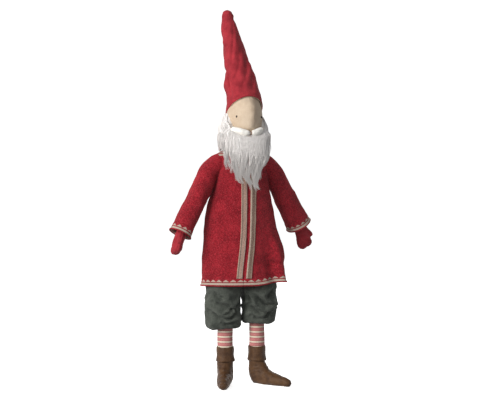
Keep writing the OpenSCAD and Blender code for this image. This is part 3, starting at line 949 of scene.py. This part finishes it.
def make_arm(name, side):
    """The stuffed arm inside the sleeve."""
    s = np.concatenate([[-11.5], np.linspace(-11, 104, 40), [105]])
    radius = hermite(s, (-11.5, -8, 0, 40, 90, 105), (2, 8, 11.4, 10.6, 9.4, 9))
    p = closed_ends(rings_in_arm(s, radius, 40, side))
    arm = weld(grid(f"arm_{name}", p, flip=faces_in(p)))
    dress(arm, LINEN, f"arm_{name}", (f"arm_skin_{name}", f"arm_filling_{name}"))


def capsule(start, end, r1, r2):
    """A closed tapering tube with round ends, for joining and remeshing."""
    start, end = np.array(start, float), np.array(end, float)
    t = (1 - np.cos(np.linspace(0, math.pi, 24))) / 2
    axis = end - start
    length = np.linalg.norm(axis)
    d = t * (length + r1 + r2) - r1
    radius = r1 + (r2 - r1) * np.clip(d / max(length, 1e-6), 0, 1)
    radius = np.where(d < 0, np.sqrt(np.maximum(r1 ** 2 - d ** 2, 0)), radius)
    radius = np.where(d > length, np.sqrt(np.maximum(r2 ** 2 - (d - length) ** 2, 0)), radius)
    path = start + axis / length * d[:, None]
    return closed_tube("capsule", path, np.maximum(radius, 1e-4), 24)


def make_mitten(name, side):
    """A stuffed cloth mitten: palm and thumb in one, with a seam round its edge."""
    parts = [capsule((0, 0, 6), (-4.4, 0, -34), 9.4, 9.2), capsule((0, 0, 6), (4.8, 0, -32.6), 9.4, 8.8),
             capsule((-1, 0, -8), (1, 0, -30), 9.4, 9.8), capsule((6, 0, -6), (14.2, 0, -21), 5.8, 5.2)]
    mitten = joined(f"mitten_{name}", parts)
    remesh(mitten, 0.9, 10)
    local = vertices_mm(mitten)
    n = normals_of(mitten)
    local[:, 1] *= 0.94
    seam = np.exp(-(local[:, 1] / 0.8) ** 2) * (1 - np.abs(n[:, 1]))
    soft = ripple(local, 13, 41 + side) * 0.35 + ripple(local, 6, 43 + side) * 0.12
    local = local + n * (soft - 0.65 * seam)[:, None]
    if side == RIGHT:
        local = turned(local, -math.pi / 2)
    bend = side * HAND_BEND
    x = local[:, 0] * math.cos(bend) + local[:, 2] * math.sin(bend)
    z = -local[:, 0] * math.sin(bend) + local[:, 2] * math.cos(bend)
    p = along_arm(np.stack([x, local[:, 1], z - WRIST], -1), side)
    move_vertices(mitten, p)
    add_flat_uv(mitten, local[:, [0, 2]])
    dress(mitten, MITTEN_CLOTH, f"arm_{name}", (f"mitten_{name}",))


def add_flat_uv(obj, uv):
    """One UV, in millimetres, for each vertex."""
    mesh = obj.data
    for old in list(mesh.uv_layers):
        mesh.uv_layers.remove(old)
    loops = np.zeros(len(mesh.loops), int)
    mesh.loops.foreach_get("vertex_index", loops)
    set_uv(mesh, uv[loops])


# ---- legs, trousers and boots ----

LEG_RADIUS = 13.2
STRIPE_AT = {LEFT: 97.0, RIGHT: 90.0}       # the middle of one cream stripe
PUFF_LOW = {LEFT: 105.5, RIGHT: 98.0}       # lowest point of the trouser leg's overhang
PUFF_MIDDLE = 31.2                          # from the doll's middle to the middle of a trouser leg
FOOT_TURN = {LEFT: math.radians(36), RIGHT: math.radians(-16)}
BOOT_TOP = box_mm("boot_cuff_left")[1][2]
CUFF_BOTTOM = box_mm("boot_cuff_left")[0][2]


def leg_axis(side):
    return np.array([HIP[side][0], HIP[side][1], 0])


def make_leg(name, side):
    """The stuffed leg of striped cloth, ending in a flat seam at the hip."""
    z = np.concatenate([[50], np.linspace(50.5, 201, 110)])[:, None]
    flat = smoothstep(z, 184, 201)
    body = np.where(z < 50.2, 0.0, LEG_RADIUS * (1 - 0.02 * bump(z, 100, 10)))
    p = ellipse(circle(56) + math.pi / 2, z, 0, 0, body * (1 - 0.15 * flat), body * (1 - 0.9 * flat))
    p = p + leg_axis(side)
    p = with_ends(raised(p, ripple(p, 24, 51 + side) * 0.3 + ripple(p, 9, 53 + side) * 0.1))[1:]
    v = np.concatenate([z[:, 0], z[-1]]) - STRIPE_AT[side] + 20.5 * STRIPE_REPEAT
    u = np.linspace(0, 2 * math.pi * LEG_RADIUS, p.shape[1] + 1)
    leg = weld(grid(f"leg_{name}", p, uv=np.stack(np.meshgrid(u, v), -1)))
    dress(leg, STRIPED_CLOTH, f"leg_{name}", (f"leg_skin_{name}", f"leg_filling_{name}"))


def make_elastic(name, side):
    """The gathered band that holds the trouser leg below the knee."""
    z = PUFF_LOW[side] + np.linspace(1.6, 6.5, 6)[:, None]
    angle = circle(64)
    radius = LEG_RADIUS + 0.9 + 0.35 * np.cos(20 * angle)
    p = ellipse(angle, z, 0, 0, radius, radius) + leg_axis(side)
    band = grid(f"knee_elastic_{name}", p)
    thicken(band, 0.8, 0.0)
    dress(band, ELASTIC, f"leg_{name}", (f"knee_elastic_{name}",))


def trouser_start(side):
    """The trouser leg before it falls: a long tube of cloth, gathered at the knee."""
    low, knee = PUFF_LOW[side], LEG_RADIUS + 1
    t, angle = np.linspace(0, 1, 60)[:, None], circle(96)
    knots = (0, 0.05, 0.12, 0.3, 0.6, 1)
    z = hermite(t, knots, (low + 3.5, low + 1, low + 2.5, low + 22, 150, 246))
    wide = hermite(t, knots, (knee, 20, 26.0, 28.6, 28.8, 26))
    deep = hermite(t, knots, (knee, 19, 23.6, 26.0, 26.0, 25.5))
    middle = hermite(t, (0, 0.12, 0.3, 0.6, 1), (HIP[LEFT][0], 30.2, PUFF_MIDDLE, PUFF_MIDDLE, 27.5))
    tilt = {LEFT: 1.2, RIGHT: -3.0}[side] * np.cos(angle) * np.clip(1 - t / 0.4, 0, 1) ** 2
    return ellipse(angle, z - tilt, side * middle, 0, wide, deep)


# Creases on the front of each trouser leg, as points of x and z.
CREASES = {
    RIGHT: [[(-57, 126), (-47, 117), (-34, 112), (-23, 113), (-14, 123), (-11, 134)],
            [(-52, 142), (-40, 137), (-28, 134), (-16, 127)], [(-3, 148), (-8, 139), (-17, 131), (-25, 124)],
            [(-38, 106), (-28, 103), (-12, 107)], [(-54, 158), (-46, 150), (-34, 147)], [(-30, 121), (-20, 119)]],
    LEFT: [[(18, 153), (28, 145), (38, 137), (54, 133)], [(9, 136), (19, 128), (33, 121), (48, 124)],
           [(28, 112), (41, 117), (52, 128)], [(52, 163), (46, 154), (36, 148)], [(5, 156), (9, 146), (15, 134)],
           [(14, 117), (24, 112), (34, 109)]]}


def crease_relief(p, normal, side):
    """A sharp valley along each crease, with a soft ridge above it. The creases behind are random."""
    rng = np.random.default_rng(31 + side)
    x, z = p[..., 0], p[..., 2]
    front, back = [smoothstep(way * normal[..., 1], 0.0, 0.45) for way in (-1, 1)]
    lines = [(line, front) for line in CREASES[side]]
    for _ in range(9):
        start, height = rng.uniform(-38, 38), rng.uniform(108, 168)
        reach, drop = rng.uniform(14, 26), rng.uniform(-14, 14)
        start += side * PUFF_MIDDLE
        lines.append(([(start, height), (start + reach / 2, height + 0.3 * drop - 2), (start + reach, height + drop)],
                      back))
    relief = 0 * x
    for line, where in lines:
        line = np.array(line, float)
        nearest, above = np.full(x.shape, np.inf), 0 * x
        for a, b in zip(line[:-1], line[1:]):
            run = b - a
            along = np.clip(((x - a[0]) * run[0] + (z - a[1]) * run[1]) / (run @ run), 0, 1)
            dx, dz = x - a[0] - along * run[0], z - a[1] - along * run[1]
            away = np.hypot(dx, dz)
            above = np.where(away < nearest, np.sign(dz), above)
            nearest = np.minimum(nearest, away)
        for end in (line[0], line[-1]):
            where = where * smoothstep(np.hypot(x - end[0], z - end[1]), 0.0, 8.0)
        signed = nearest * above
        relief += where * (4.6 * bump(signed, 4.6, 3.0) - 8.0 * bump(nearest, 0, 2.6) - 1.5 * bump(signed, -5.5, 3.2))
    return relief


def make_trousers(name, side):
    """A puffed leg of thin cloth: draped, then gathered at the knee and creased."""
    p = trouser_start(side)
    trousers = grid(f"trousers_{name}", p)
    rows, columns = p.shape[:2]
    drape(trousers, columns)
    q = smoothed(vertices_mm(trousers).reshape(p.shape), 1)
    q[..., 0] = side * np.maximum(side * q[..., 0], 0.5)
    n = grid_normals(q, True)
    up = np.linspace(0, 1, rows)[:, None]
    gathers = np.sin(22 * circle(columns) + 2 * ripple(p, 30, 61)) * 0.55 * np.exp(-up / 0.07)
    loose = smoothstep(up, 0.02, 0.12) * (1 - smoothstep(up, 0.66, 0.84))
    soft = ripple(p, 26, 63 + side, (1.4, 1.0, 0.9)) + ripple(p, 12, 65 + side, (1.2, 1.0, 1.2)) * 0.45
    q = q + n * (gathers + loose * np.clip(soft + crease_relief(q, n, side), -8.0, 3.0))[..., None]
    q[..., 0] = side * np.maximum(side * q[..., 0], 0.8 + 1.6 * bump(q[..., 2], 150, 22))
    move_vertices(trousers, q.reshape(-1, 3))
    thicken(subdivide(trousers), 1.0)
    dress(trousers, TROUSER_CLOTH, None, (f"trouser_leg_{name}", "trouser_seat", "waist_elastic"))
    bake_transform(trousers)


def drape(obj, columns):
    """Lets the cloth fall, held at the waist and at the knee, and puff out over the gathers."""
    scale = 10.0        # the solver is steadier on a larger copy
    frames = 14
    co = vertices_mm(obj)
    held = obj.vertex_groups.new(name="held")
    waist = [i for i in range(len(co)) if co[i, 2] > 196]
    held.add([*range(2 * columns), *waist], 1.0, "REPLACE")
    obj.data.vertices.foreach_set("co", (row(co) * scale).ravel())
    cloth = obj.modifiers.new("cloth", "CLOTH")
    settings = cloth.settings
    settings.quality = 5
    settings.mass = 0.25
    settings.tension_stiffness = settings.compression_stiffness = 15
    settings.shear_stiffness = 5
    settings.bending_stiffness = 0.3
    settings.air_damping = 2.0
    settings.shrink_min = settings.shrink_max = -0.13
    settings.use_pressure = True
    settings.uniform_pressure_force = 1.2
    settings.effector_weights.gravity = 0.25
    settings.vertex_group_mass = "held"
    cloth.collision_settings.use_self_collision = False
    cloth.collision_settings.use_collision = False
    cloth.point_cache.frame_start, cloth.point_cache.frame_end = 1, frames
    scene = bpy.context.scene
    for f in range(1, frames + 1):
        scene.frame_set(f)
    apply_modifiers(obj)
    after = np.zeros(co.size)
    obj.data.vertices.foreach_get("co", after)
    moved = (after.reshape(-1, 3) / scale - ORIGIN) / MM - co
    limit = 1.5 + 3.5 * (1 - smoothstep(co[:, 2:], 165, 192))
    far = np.linalg.norm(moved, axis=1, keepdims=True)
    move_vertices(obj, co + moved * np.minimum(1, limit / np.maximum(far, 1e-6)))
    obj.vertex_groups.clear()
    scene.frame_set(1)


def in_foot(points, side):
    return turned(points, FOOT_TURN[side]) + leg_axis(side)


def make_boot(name, side):
    """A soft leather boot: a shaft, a flat sole and a long pointed toe."""
    y, height, radius = np.array([
        (8.5, 13.4, 7.6), (4, 12.9, 12.7), (-6, 12.2, 13.8), (-18, 11.0, 13.3), (-32, 9.6, 12.2), (-46, 8.2, 10.6),
        (-58, 6.6, 8.4), (-66, 6.2, 7.0), (-71.5, 5.8, 4.6), (-73.2, 5.6, 2.0)]).T
    path = curve(np.stack([0 * y, y, height], -1), 48)
    sole = closed_tube("sole", path, hermite(-path[:, 1], -y, radius), 32)
    z = np.linspace(9, BOOT_TOP - 4, 30)
    shaft = closed_tube("shaft", np.stack([0 * z, 0 * z, z], -1),
                        hermite(z, (9, 20, 30, 45, 60), (12.6, 14.2, 13.9, 13.6, 13.7)), 48)
    instep = capsule((0, -1, 34), (0, -27, 9), 12.6, 8.6)
    ankle = capsule((0, -3, 24), (0, -12, 11), 12.8, 11.0)
    boot = joined(f"boot_{name}", [sole, shaft, instep, ankle])
    remesh(boot, 1.0, 14)
    p = vertices_mm(boot)
    n = normals_of(boot)
    ahead, z = -p[:, 1], p[:, 2]
    creases = np.sin(z * 0.95 + 0.9 * ripple(p, 16, 71 + side)) * 0.45 * bump(z, 27, 7) * smoothstep(ahead, -6, 12)
    toe = ripple(p, 11, 73 + side, (2.2, 1, 1)) * 0.35 * smoothstep(ahead, 10, 30)
    soft = ripple(p, 26, 75 + side) * 0.45
    welt = -0.55 * bump(z, 2.6, 0.7)
    ridge = 0.35 * bump(p[:, 0], 0, 0.9) * smoothstep(ahead, 12, 24) * smoothstep(n[:, 2], 0.2, 0.7)
    p = p + n * (creases + toe + soft + welt + ridge)[:, None]
    p[:, 2] = np.maximum(p[:, 2], 0.0)
    add_flat_uv(boot, p[:, [1, 2]])
    move_vertices(boot, in_foot(p, side))
    dress(boot, LEATHER, f"foot_{name}", (f"boot_{name}", f"foot_filling_{name}"))


def make_boot_cuff(name, side):
    """The boot's top, turned down outside in one thick fold."""
    low, top = CUFF_BOTTOM, BOOT_TOP
    # Radius and height, from the lower edge inside the fold, up outside it and over the top.
    profile = np.array([(15.0, 0, low + 0.3), (15.6, 0, low), (16.0, 0, low + 0.6), (15.5, 0, low + 5),
                        (15.0, 0, low + 12), (14.8, 0, top - 3), (14.6, 0, top - 1), (14.0, 0, top),
                        (13.5, 0, top - 1), (13.3, 0, top - 4)])
    radius, _, z = curve(profile, 44).T[..., None]
    angle = circle(80)
    flare = 0.6 + 0.9 * np.cos(angle - 0.3)
    radius = radius + (1 - smoothstep(z, low, low + 12)) * flare * 0.7 + 0.25 * np.cos(3 * angle + side)
    z = np.minimum(z + 0.5 * np.cos(2 * angle + 1.0 + side) * (z - low) / 25, top + 0.4)
    p = ellipse(angle, z, 0, 0, radius, radius)
    cuff = grid(f"boot_cuff_{name}", in_foot(raised(p, ripple(p, 14, 81 + side) * 0.3), side))
    dress(cuff, LEATHER, f"foot_{name}", (f"boot_cuff_{name}",))


# ---- head ----

HEAD_MIDDLE = np.array([0, -6, 456.0])
# Spheres whose hull is the stuffed head, in the head's own frame: x, y, z, radius.
HEAD_BALLS = [(0, 3, 446, 30.5), (0, 3, 474, 27.0), (0, -26, 466, 11.0), (0, -26, 441, 11.0), (0, -14.5, 481, 12.0)]
BRIM_MIDDLE, BRIM_SLOPE = 466.9, math.tan(math.radians(38))
EYES = {LEFT: (23.2, 454.0), RIGHT: (-23.2, 454.0)}


def head_radius(directions):
    """Distance from HEAD_MIDDLE to the hull of the balls, and of balls in between them."""
    best = np.zeros(directions.shape[:-1])
    balls = np.array(HEAD_BALLS, float)
    parts = 4
    for share in np.ndindex(*[parts + 1] * (len(balls) - 1)):
        if sum(share) > parts:
            continue
        ball = np.append(share, parts - sum(share)) / parts @ balls
        to = ball[:3] - HEAD_MIDDLE
        along = directions @ to
        inside = ball[3] ** 2 - (to @ to - along ** 2)
        best = np.maximum(best, np.where(inside > 0, along + np.sqrt(np.maximum(inside, 0)), 0))
    return best


def head_surface(azimuth, elevation):
    """The hull of the balls, fuller in the cheeks and temples, more so on the doll's left."""
    d = ellipse(azimuth, np.sin(elevation), 0, 0, np.cos(elevation), np.cos(elevation))
    aside = np.abs(d[..., 0])
    cheek = 1.6 * bump(aside, 0.55, 0.28) * smoothstep(-d[..., 1], 0.1, 0.6)
    temple = (1.5 + np.sign(d[..., 0])) * smoothstep(aside, 0.4, 0.85) * bump(d[..., 2], 0.25, 0.5)
    return HEAD_MIDDLE + d * (head_radius(d) + cheek + temple)[..., None]


def make_head():
    """The stuffed linen head, pinched into a blunt ridge with a seam down the middle of the face."""
    rows, columns = 120, 200
    elevation = np.linspace(-math.pi / 2, math.pi / 2, rows)[:, None]
    p = head_surface(circle(columns) - math.pi, elevation) - HEAD_MIDDLE
    d = unit(p)
    p = HEAD_MIDDLE + d * (smoothed(np.linalg.norm(p, axis=-1), 60) + 0.9)[..., None]
    x, y, z = p[..., 0], p[..., 1], p[..., 2]
    rise = 1.5 * bump(x, 0, 4.6) * bump(z, 455, 5.0) + 0.4 * bump(x, 0, 8) * bump(z, 446, 14)
    seam = 0.3 * bump(x, 0, 3.4) - 0.3 * bump(x, 0, 0.7)
    for eye_x, eye_z in EYES.values():
        rise = rise - 0.9 * bump(x, eye_x, 2.6) * bump(z, eye_z, 2.6)
    dents = ripple(p, 24, 91) * 0.35 + ripple(p, 11, 92) * 0.12
    p = in_head(p + d * (smoothstep(-y, 8, 26) * (rise + seam) + dents)[..., None])
    uv = np.stack(np.meshgrid(np.linspace(-110, 110, columns + 1), np.linspace(0, 110, rows)), -1)
    head = weld(grid("head", p, uv=uv), 1e-5)
    dress(head, FACE_LINEN, "head", ("head_skin", "head_filling", "nose"))


def make_eyes():
    """Each eye is a knot of dark thread pulled into the face."""
    for name, side in SIDES:
        eye_x, eye_z = EYES[side]
        tilt = math.asin((eye_z - HEAD_MIDDLE[2]) / 28)
        where = head_surface(np.array([math.atan2(-15.5, eye_x)]), np.array([tilt]))[0]
        out = unit(where - HEAD_MIDDLE)
        across = unit(np.cross(out, [0, 0, 1.0]))
        t = np.linspace(0, 1, 40)
        turn, reach = 2 * math.pi * 2.5 * t, 0.5 + 0.5 * t
        path = (where + 0.55 * out + np.outer(0.95 * np.cos(turn) * reach, across)
                + np.outer(1.35 * np.sin(turn) * reach, np.cross(across, out))
                + np.outer(0.9 * np.sin(math.pi * t), out))
        knot = closed_tube(f"eye_{name}", in_head(path), 0.85, 8)
        dress(knot, DARK_THREAD, "head", (f"eye_{name}",))


MOUSTACHE_END = {LEFT: (21.0, -29.0), RIGHT: (-31.5, -20.0)}


def make_moustache():
    """Two stuffed rolls of white felt, tied together in the middle and tacked down at the ends."""
    for name, side in SIDES:
        path = curve([(side * 0.6 - 3.2, -36.0, 425.6), (side * 7.5 - 3.8, -36.0, 426.0),
                      (side * 16 - 4.6, -32.6 - side * 1.6, 428.8), (*MOUSTACHE_END[side], 433.4)], 40)
        radius = hermite(np.linspace(0, 1, 40), (0, 0.06, 0.3, 0.65, 0.93, 1.0), (2.4, 4.0, 5.9, 5.8, 4.2, 2.6))
        p = tube_points(path, radius, 32, 0.92)
        p = in_head(closed_ends(raised(p, ripple(p, 9, 95 + side) * 0.22)))
        roll = weld(grid(f"moustache_{name}", p, flip=faces_in(p)))
        dress(roll, WHITE_FELT, "head", (f"moustache_{name}",))
        for k, near_end in enumerate((35, 37)):
            tack = path[near_end] + (0, 0, 3.4 * k) + np.array([(side * 0.8, 0.5, -5.2), (side * 2.4, -3.0, -3.0),
                                                                (side * 3.6, -1.2, 0.2)])
            thread = closed_tube(f"moustache_tack_{name}_{k + 1}", in_head(curve(tack, 16)), 0.35, 6)
            dress(thread, TAN_THREAD, "head")

    turn = np.linspace(0, 3 * 2 * math.pi, 90)
    wrap = np.stack([-4.1 + 1.8 * turn / turn[-1], -36.0 + 3.7 * np.sin(turn), 425.6 + 3.7 * np.cos(turn)], -1)
    tie = closed_tube("moustache_tie", in_head(wrap), 0.42, 8)
    dress(tie, TAN_THREAD, "head", ("moustache_stitch",))
    x = np.linspace(-15, 15, 60)
    below = np.stack([0.6 * x - 2, -39.6 + 0.012 * x ** 2 + 0.4 * np.cos(x * 2.2), 419.2 + 0.010 * x ** 2], -1)
    line = closed_tube("moustache_seam", in_head(below), 0.4, 6)
    dress(line, TAN_THREAD, "head")


# ---- beard and hair ----

# Height, middle x and y, half width and half depth of the beard, from below; x and y are from the neck.
BEARD = np.array([(330, 3, -36.5, 17, 4), (345, -7, -38, 27, 6), (358, -10, -39, 34, 8), (372, -10.5, -39.5, 39, 10),
                  (386, -9, -38, 42.5, 13), (398, -8, -35, 44.8, 15.5), (410, -7.5, -29, 43.2, 17.5),
                  (425, -5, -23, 43.6, 15.5), (440, -3, -18, 40.5, 12)])
# The same for the hair, in the head's frame.
HAIR = np.array([(398, -2, 2, 42, 34), (415, -2, 2, 44, 37.5), (430, -1.5, 2, 44, 38.2), (444, -1, 2, 41.6, 37.2),
                 (453, 0, 2.5, 37.5, 36), (462, 0, 3, 32, 33)])


def tuft_surface(table, angle, z, scale):
    """A point on the beard or hair. scale below 1 is inside it."""
    cx, cy, wide, deep = at_height(table, z)
    return ellipse(angle, z, cx, cy, scale * wide, scale * deep)


def beard_top(lateral):
    """The beard starts under the moustache, which is lowest in the middle."""
    return 420.5 + 15.5 * np.abs(lateral) ** 2


def beard_low(lateral):
    """How far down it reaches, from the doll's right (-1) to its left (1)."""
    return hermite(lateral, (-1, -0.8, -0.5, 0, 0.25, 0.5, 0.75, 0.88, 1),
                   (394, 366, 348, 342, 338, 333, 345, 364, 392))


def make_beard():
    """Long white wool: a soft body with combed locks over it, ragged at the tips."""
    neck = np.array([NECK[0], NECK[1], 0])
    t = np.linspace(0, 1, 70)[:, None]
    angle = circle(180)[None] - math.pi
    low = np.minimum(beard_low(np.cos(angle)) + 34, 406)
    z = low + (beard_top(np.cos(angle)) - low) * t
    taper = (0.60 + 0.34 * smoothstep(t, 0, 0.3)) * (1 - 0.17 * smoothstep(t, 0.8, 1))
    p = tuft_surface(BEARD, angle, z, taper)
    locks = np.sin(angle * 26 + 2.0 * ripple(p, 30, 101, (1, 1, 3))) * 0.8 + ripple(p, 12, 102, (1, 1, 6)) * 1.1
    core = weld(grid("beard_core", with_ends(raised(p, locks)) + neck))

    rng = np.random.default_rng(7)
    strands, steps = 6000, 18
    lateral = rng.uniform(-0.5, 0.5, strands) * 2
    layer = rng.uniform(0.92, 1.02, strands)
    root = beard_top(lateral) + 1.0 - 9 * rng.random(strands) ** 2
    lock_count = 34
    lock_x = np.linspace(-1, 1, lock_count) + rng.normal(0, 0.022, lock_count)
    lock_low = beard_low(lock_x) + rng.uniform(-4, 12, lock_count)
    lock_bend = rng.normal(0, 3.2, lock_count)
    lock_wave = rng.uniform(0, 2 * math.pi, lock_count)
    lock = np.abs(lateral[:, None] - lock_x[None]).argmin(1)
    tip = np.minimum(lock_low[lock] + rng.exponential(17, strands) - 4, root - 14)
    t = np.linspace(0, 1, steps)[None]
    z = root[:, None] + (tip - root)[:, None] * t
    share = np.clip((root[:, None] - z) / (root - lock_low[lock])[:, None], 0, 1)
    gather = smoothstep(share, 0.25, 0.9) * rng.uniform(0.55, 1.0, strands)[:, None]
    lateral_now = lateral[:, None] * (1 - gather) + lock_x[lock][:, None] * gather
    angle_now = -np.arccos(np.clip(lateral_now, -0.999, 0.999))
    tuck = 1 - 0.16 * (1 - smoothstep(beard_top(lateral)[:, None] - z, -1, 12))
    p = tuft_surface(BEARD, angle_now, z, layer[:, None] * tuck)
    wave = np.sin(z * 0.16 + lock_wave[lock][:, None]) * 2.0 * smoothstep(t, 0.25, 0.9)
    own = np.sin(z * 0.31 + rng.uniform(0, 6.3, strands)[:, None]) * 0.55
    bend = lock_bend[lock][:, None] * share ** 2
    p[..., 0] += wave + own + bend + rng.normal(0, 1.1, strands)[:, None] * t ** 2
    p[..., 1] += 0.6 * np.cos(z * 0.21 + rng.uniform(0, 6.3, strands)[:, None]) - 1.2 * smoothstep(t, 0.6, 1)
    radius = rng.uniform(0.16, 0.36, strands)[:, None] * (1 - 0.85 * smoothstep(t, 0.4, 1.0)) + 0.03
    locks = strand_bundle("beard_locks", p + neck, radius)
    beard = joined("beard", [core, locks])
    dress(beard, BEARD_WOOL, None, ("beard",))
    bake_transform(beard)


def hair_front(z):
    """The angle at which the hair ends at each height: it comes forward over the cheeks to meet the beard."""
    return hermite(z, (402, 425, 436, 447, 456, 464), (-0.75, -0.78, -0.66, -0.42, -0.24, -0.15))


def hair_edge(angle, front):
    away = np.minimum(np.abs(angle - front), np.abs(angle - (math.pi - front)))
    return bump(away, 0, 0.22)


def make_hair():
    """Wool hair showing round the sides and back below the hat."""
    z = np.linspace(401, 462, 50)[:, None]
    front = hair_front(z)
    angle = front + (math.pi - 2 * front) * np.linspace(0, 1, 190)[None]
    p = tuft_surface(HAIR, angle, z, 0.93 - 0.06 * hair_edge(angle, front))
    locks = np.sin(angle * 40 + 2.0 * ripple(p, 30, 111, (1, 1, 3))) * 0.5 + ripple(p, 14, 112, (1, 1, 5)) * 0.9
    p = raised(p, locks, False)
    inner = p * (0.62, 0.62, 1)
    closed = np.concatenate([p, inner[:, ::-1]], 1)
    ends = closed * (0.86, 0.86, 1)
    closed = np.concatenate([ends[:1], closed, ends[-1:]])
    core = grid("hair_core", in_head(closed))

    rng = np.random.default_rng(17)
    strands, steps = 3000, 14
    spread = rng.random(strands)
    angle0 = -0.44 + (math.pi + 0.88) * spread
    layer = rng.uniform(0.95, 0.995, strands)
    root = 461 - 3 * rng.random(strands)
    tip = 398.5 + rng.exponential(7, strands) + 3 * np.sin(7 * angle0)
    t = np.linspace(0, 1, steps)[None]
    z = root[:, None] + (tip - root)[:, None] * t
    front = hair_front(z)
    sway = 0.03 * np.sin(z * 0.12 + 6 * np.round(angle0 * 6)[:, None])
    angle_now = front + (math.pi - 2 * front) * spread[:, None] + sway
    angle_now = angle_now + 0.05 * rng.normal(size=strands)[:, None] * t ** 2
    lock = 0.016 * np.sin(angle_now * 23 + 0.05 * z) + 0.010 * np.sin(angle_now * 41 + 2 - 0.07 * z)
    p = tuft_surface(HAIR, angle_now, z, layer[:, None] + lock - 0.06 * hair_edge(angle_now, front))
    radius = rng.uniform(0.22, 0.42, strands)[:, None] * (1 - 0.8 * smoothstep(t, 0.6, 1)) + 0.03
    hair = joined("hair", [core, strand_bundle("hair_locks", in_head(p), radius)])
    dress(hair, BEARD_WOOL, "head", ("hair",))


# ---- hat ----

# Height, middle x, middle y, half width and half depth of the hat.
HAT = np.array([
    (432, 4.5, -3.5, 33.2, 33.2), (458, 4.9, -3.5, 32.6, 32.6), (477, 5.2, -4, 30.8, 31.6), (494, 3.6, -3, 29.2, 29),
    (513, -1.6, -1, 27.6, 25), (534, -4, 0, 23.6, 22), (556, -9.6, 0, 21, 19), (578, -14.4, 0, 18.2, 16.5),
    (602, -19, 0, 14.6, 13.5), (622, -22.6, 0, 10.6, 9.8), (631, -24, 0, 8.4, 7.8), (636, -24.2, 0, 5.4, 5.0),
    (HAT_TOP, -24.3, 0, 0.8, 0.8)])


def hat_point(angle, z):
    return ellipse(angle, z, *at_height(HAT, z))


def brim_height(angle):
    """Height of the hat's edge: the cut slopes up over the forehead, square to the head's own front."""
    z = np.full(angle.shape, BRIM_MIDDLE)
    for _ in range(14):
        p = hat_point(angle, z)
        local = turned(p - np.array([NECK[0], NECK[1], 0]), -HEAD_YAW)
        z = 0.5 * z + 0.5 * (BRIM_MIDDLE - local[..., 1] * BRIM_SLOPE)
    return z


# Slanting folds: angle in degrees, height, degrees of lean for each mm up, and depth.
HAT_FOLDS = ((-100, 540, 1.1, 2.0), (-70, 528, 1.3, 2.2), (-118, 560, 0.8, 1.5), (-60, 506, 0.9, 1.6),
             (-50, 552, 1.2, 1.8), (-95, 585, 0.8, 1.2), (70, 530, 1.0, 2.0), (110, 548, -1.0, 1.8))


def make_hat():
    """A tall soft cone of cloth that slumps into folds, with a narrow hem."""
    angle = circle(190)[None] - math.pi
    edge = brim_height(angle)
    z = edge + (HAT_TOP - edge) * np.linspace(0, 1, 190)[:, None]
    p = hat_point(angle, z)
    deg = np.degrees(angle) + 0 * z
    from_left = np.abs(deg % 360 - 180)
    folds = 1.9 * bump(z, 512, 15) * bump(from_left, 4, 17) - 3.4 * bump(z, 512, 16) * bump(deg, -150, 5)
    folds -= 2.0 * bump(z, 534, 3.5) * bump(from_left, 0, 34)
    folds += 3.3 * bump(z, 528, 14) * bump(deg, -10, 34) - 1.8 * bump(z, 550, 4) * bump(deg, 0, 40)
    for at, height, lean, depth in HAT_FOLDS:
        along = (z - height) / 24
        folds -= 0.6 * depth * bump(deg, at + lean * (z - height), 8) * bump(along, 0, 1)
        folds += 0.35 * depth * bump(deg, at + 15 + lean * (z - height), 9) * bump(along, 0, 1)
    folds += 1.3 * bump(z, 606, 14) * bump(from_left, 0, 40) - 1.2 * bump(z, 590, 5) * bump(from_left, 0, 30)
    folds += 1.6 * bump(z, 629, 4.5) * bump(deg, 0, 40) - 1.4 * bump(z, 621, 3.5) * bump(deg, 0, 40)
    slack = bump(z, 545, 42)
    dents = ripple(p, 34, 121, (1.0, 1.0, 1.5)) * 1.5 * slack
    tilted = turned(p, 0.4) + p[..., 2:] * (0.5, 0, 0)
    creases = -np.abs(ripple(tilted, 40, 122, (0.7, 0.7, 1.6))) * 1.1 * slack + 0.4 * slack
    small = ripple(p, 13, 123, (1, 1, 1.6)) * 0.35
    hem_line = -0.45 * bump(z - edge, 5.0, 0.7) + 0.25 * bump(z - edge, 2.2, 2.0)
    calm = smoothstep(z - edge, 0, 18) * (1 - smoothstep(z, 626, 637))
    p = raised(p, (folds + dents + creases + small) * calm + hem_line)
    p[-1] = p[-1].mean(0)
    hat = thicken(weld(grid("hat", p)), 1.7)
    dress(hat, HAT_CLOTH, "head", ("hat", "hat_hem", "hat_filling"))

    local = p[0] + (HEAD_MIDDLE - p[0]) * (0.062, 0.062, 0) + (0, 0, -0.3)
    loop = np.concatenate([local, local[:1]])
    rim = weld(grid("hat_lining_edge", tube_points(loop, 0.6, 8)), 1e-5)
    dress(rim, FACE_LINEN, "head")


# ---- putting it together ----

make_camera()
make_studio()
make_torso()
make_head()
make_eyes()
make_moustache()
make_beard()
make_hair()
make_hat()
make_coat()
make_collar()
for name, side in SIDES:
    make_arm(name, side)
    make_sleeve(name, side)
    make_cuff(name, side)
    make_mitten(name, side)
    make_leg(name, side)
    make_elastic(name, side)
    make_trousers(name, side)
    make_boot(name, side)
    make_boot_cuff(name, side)
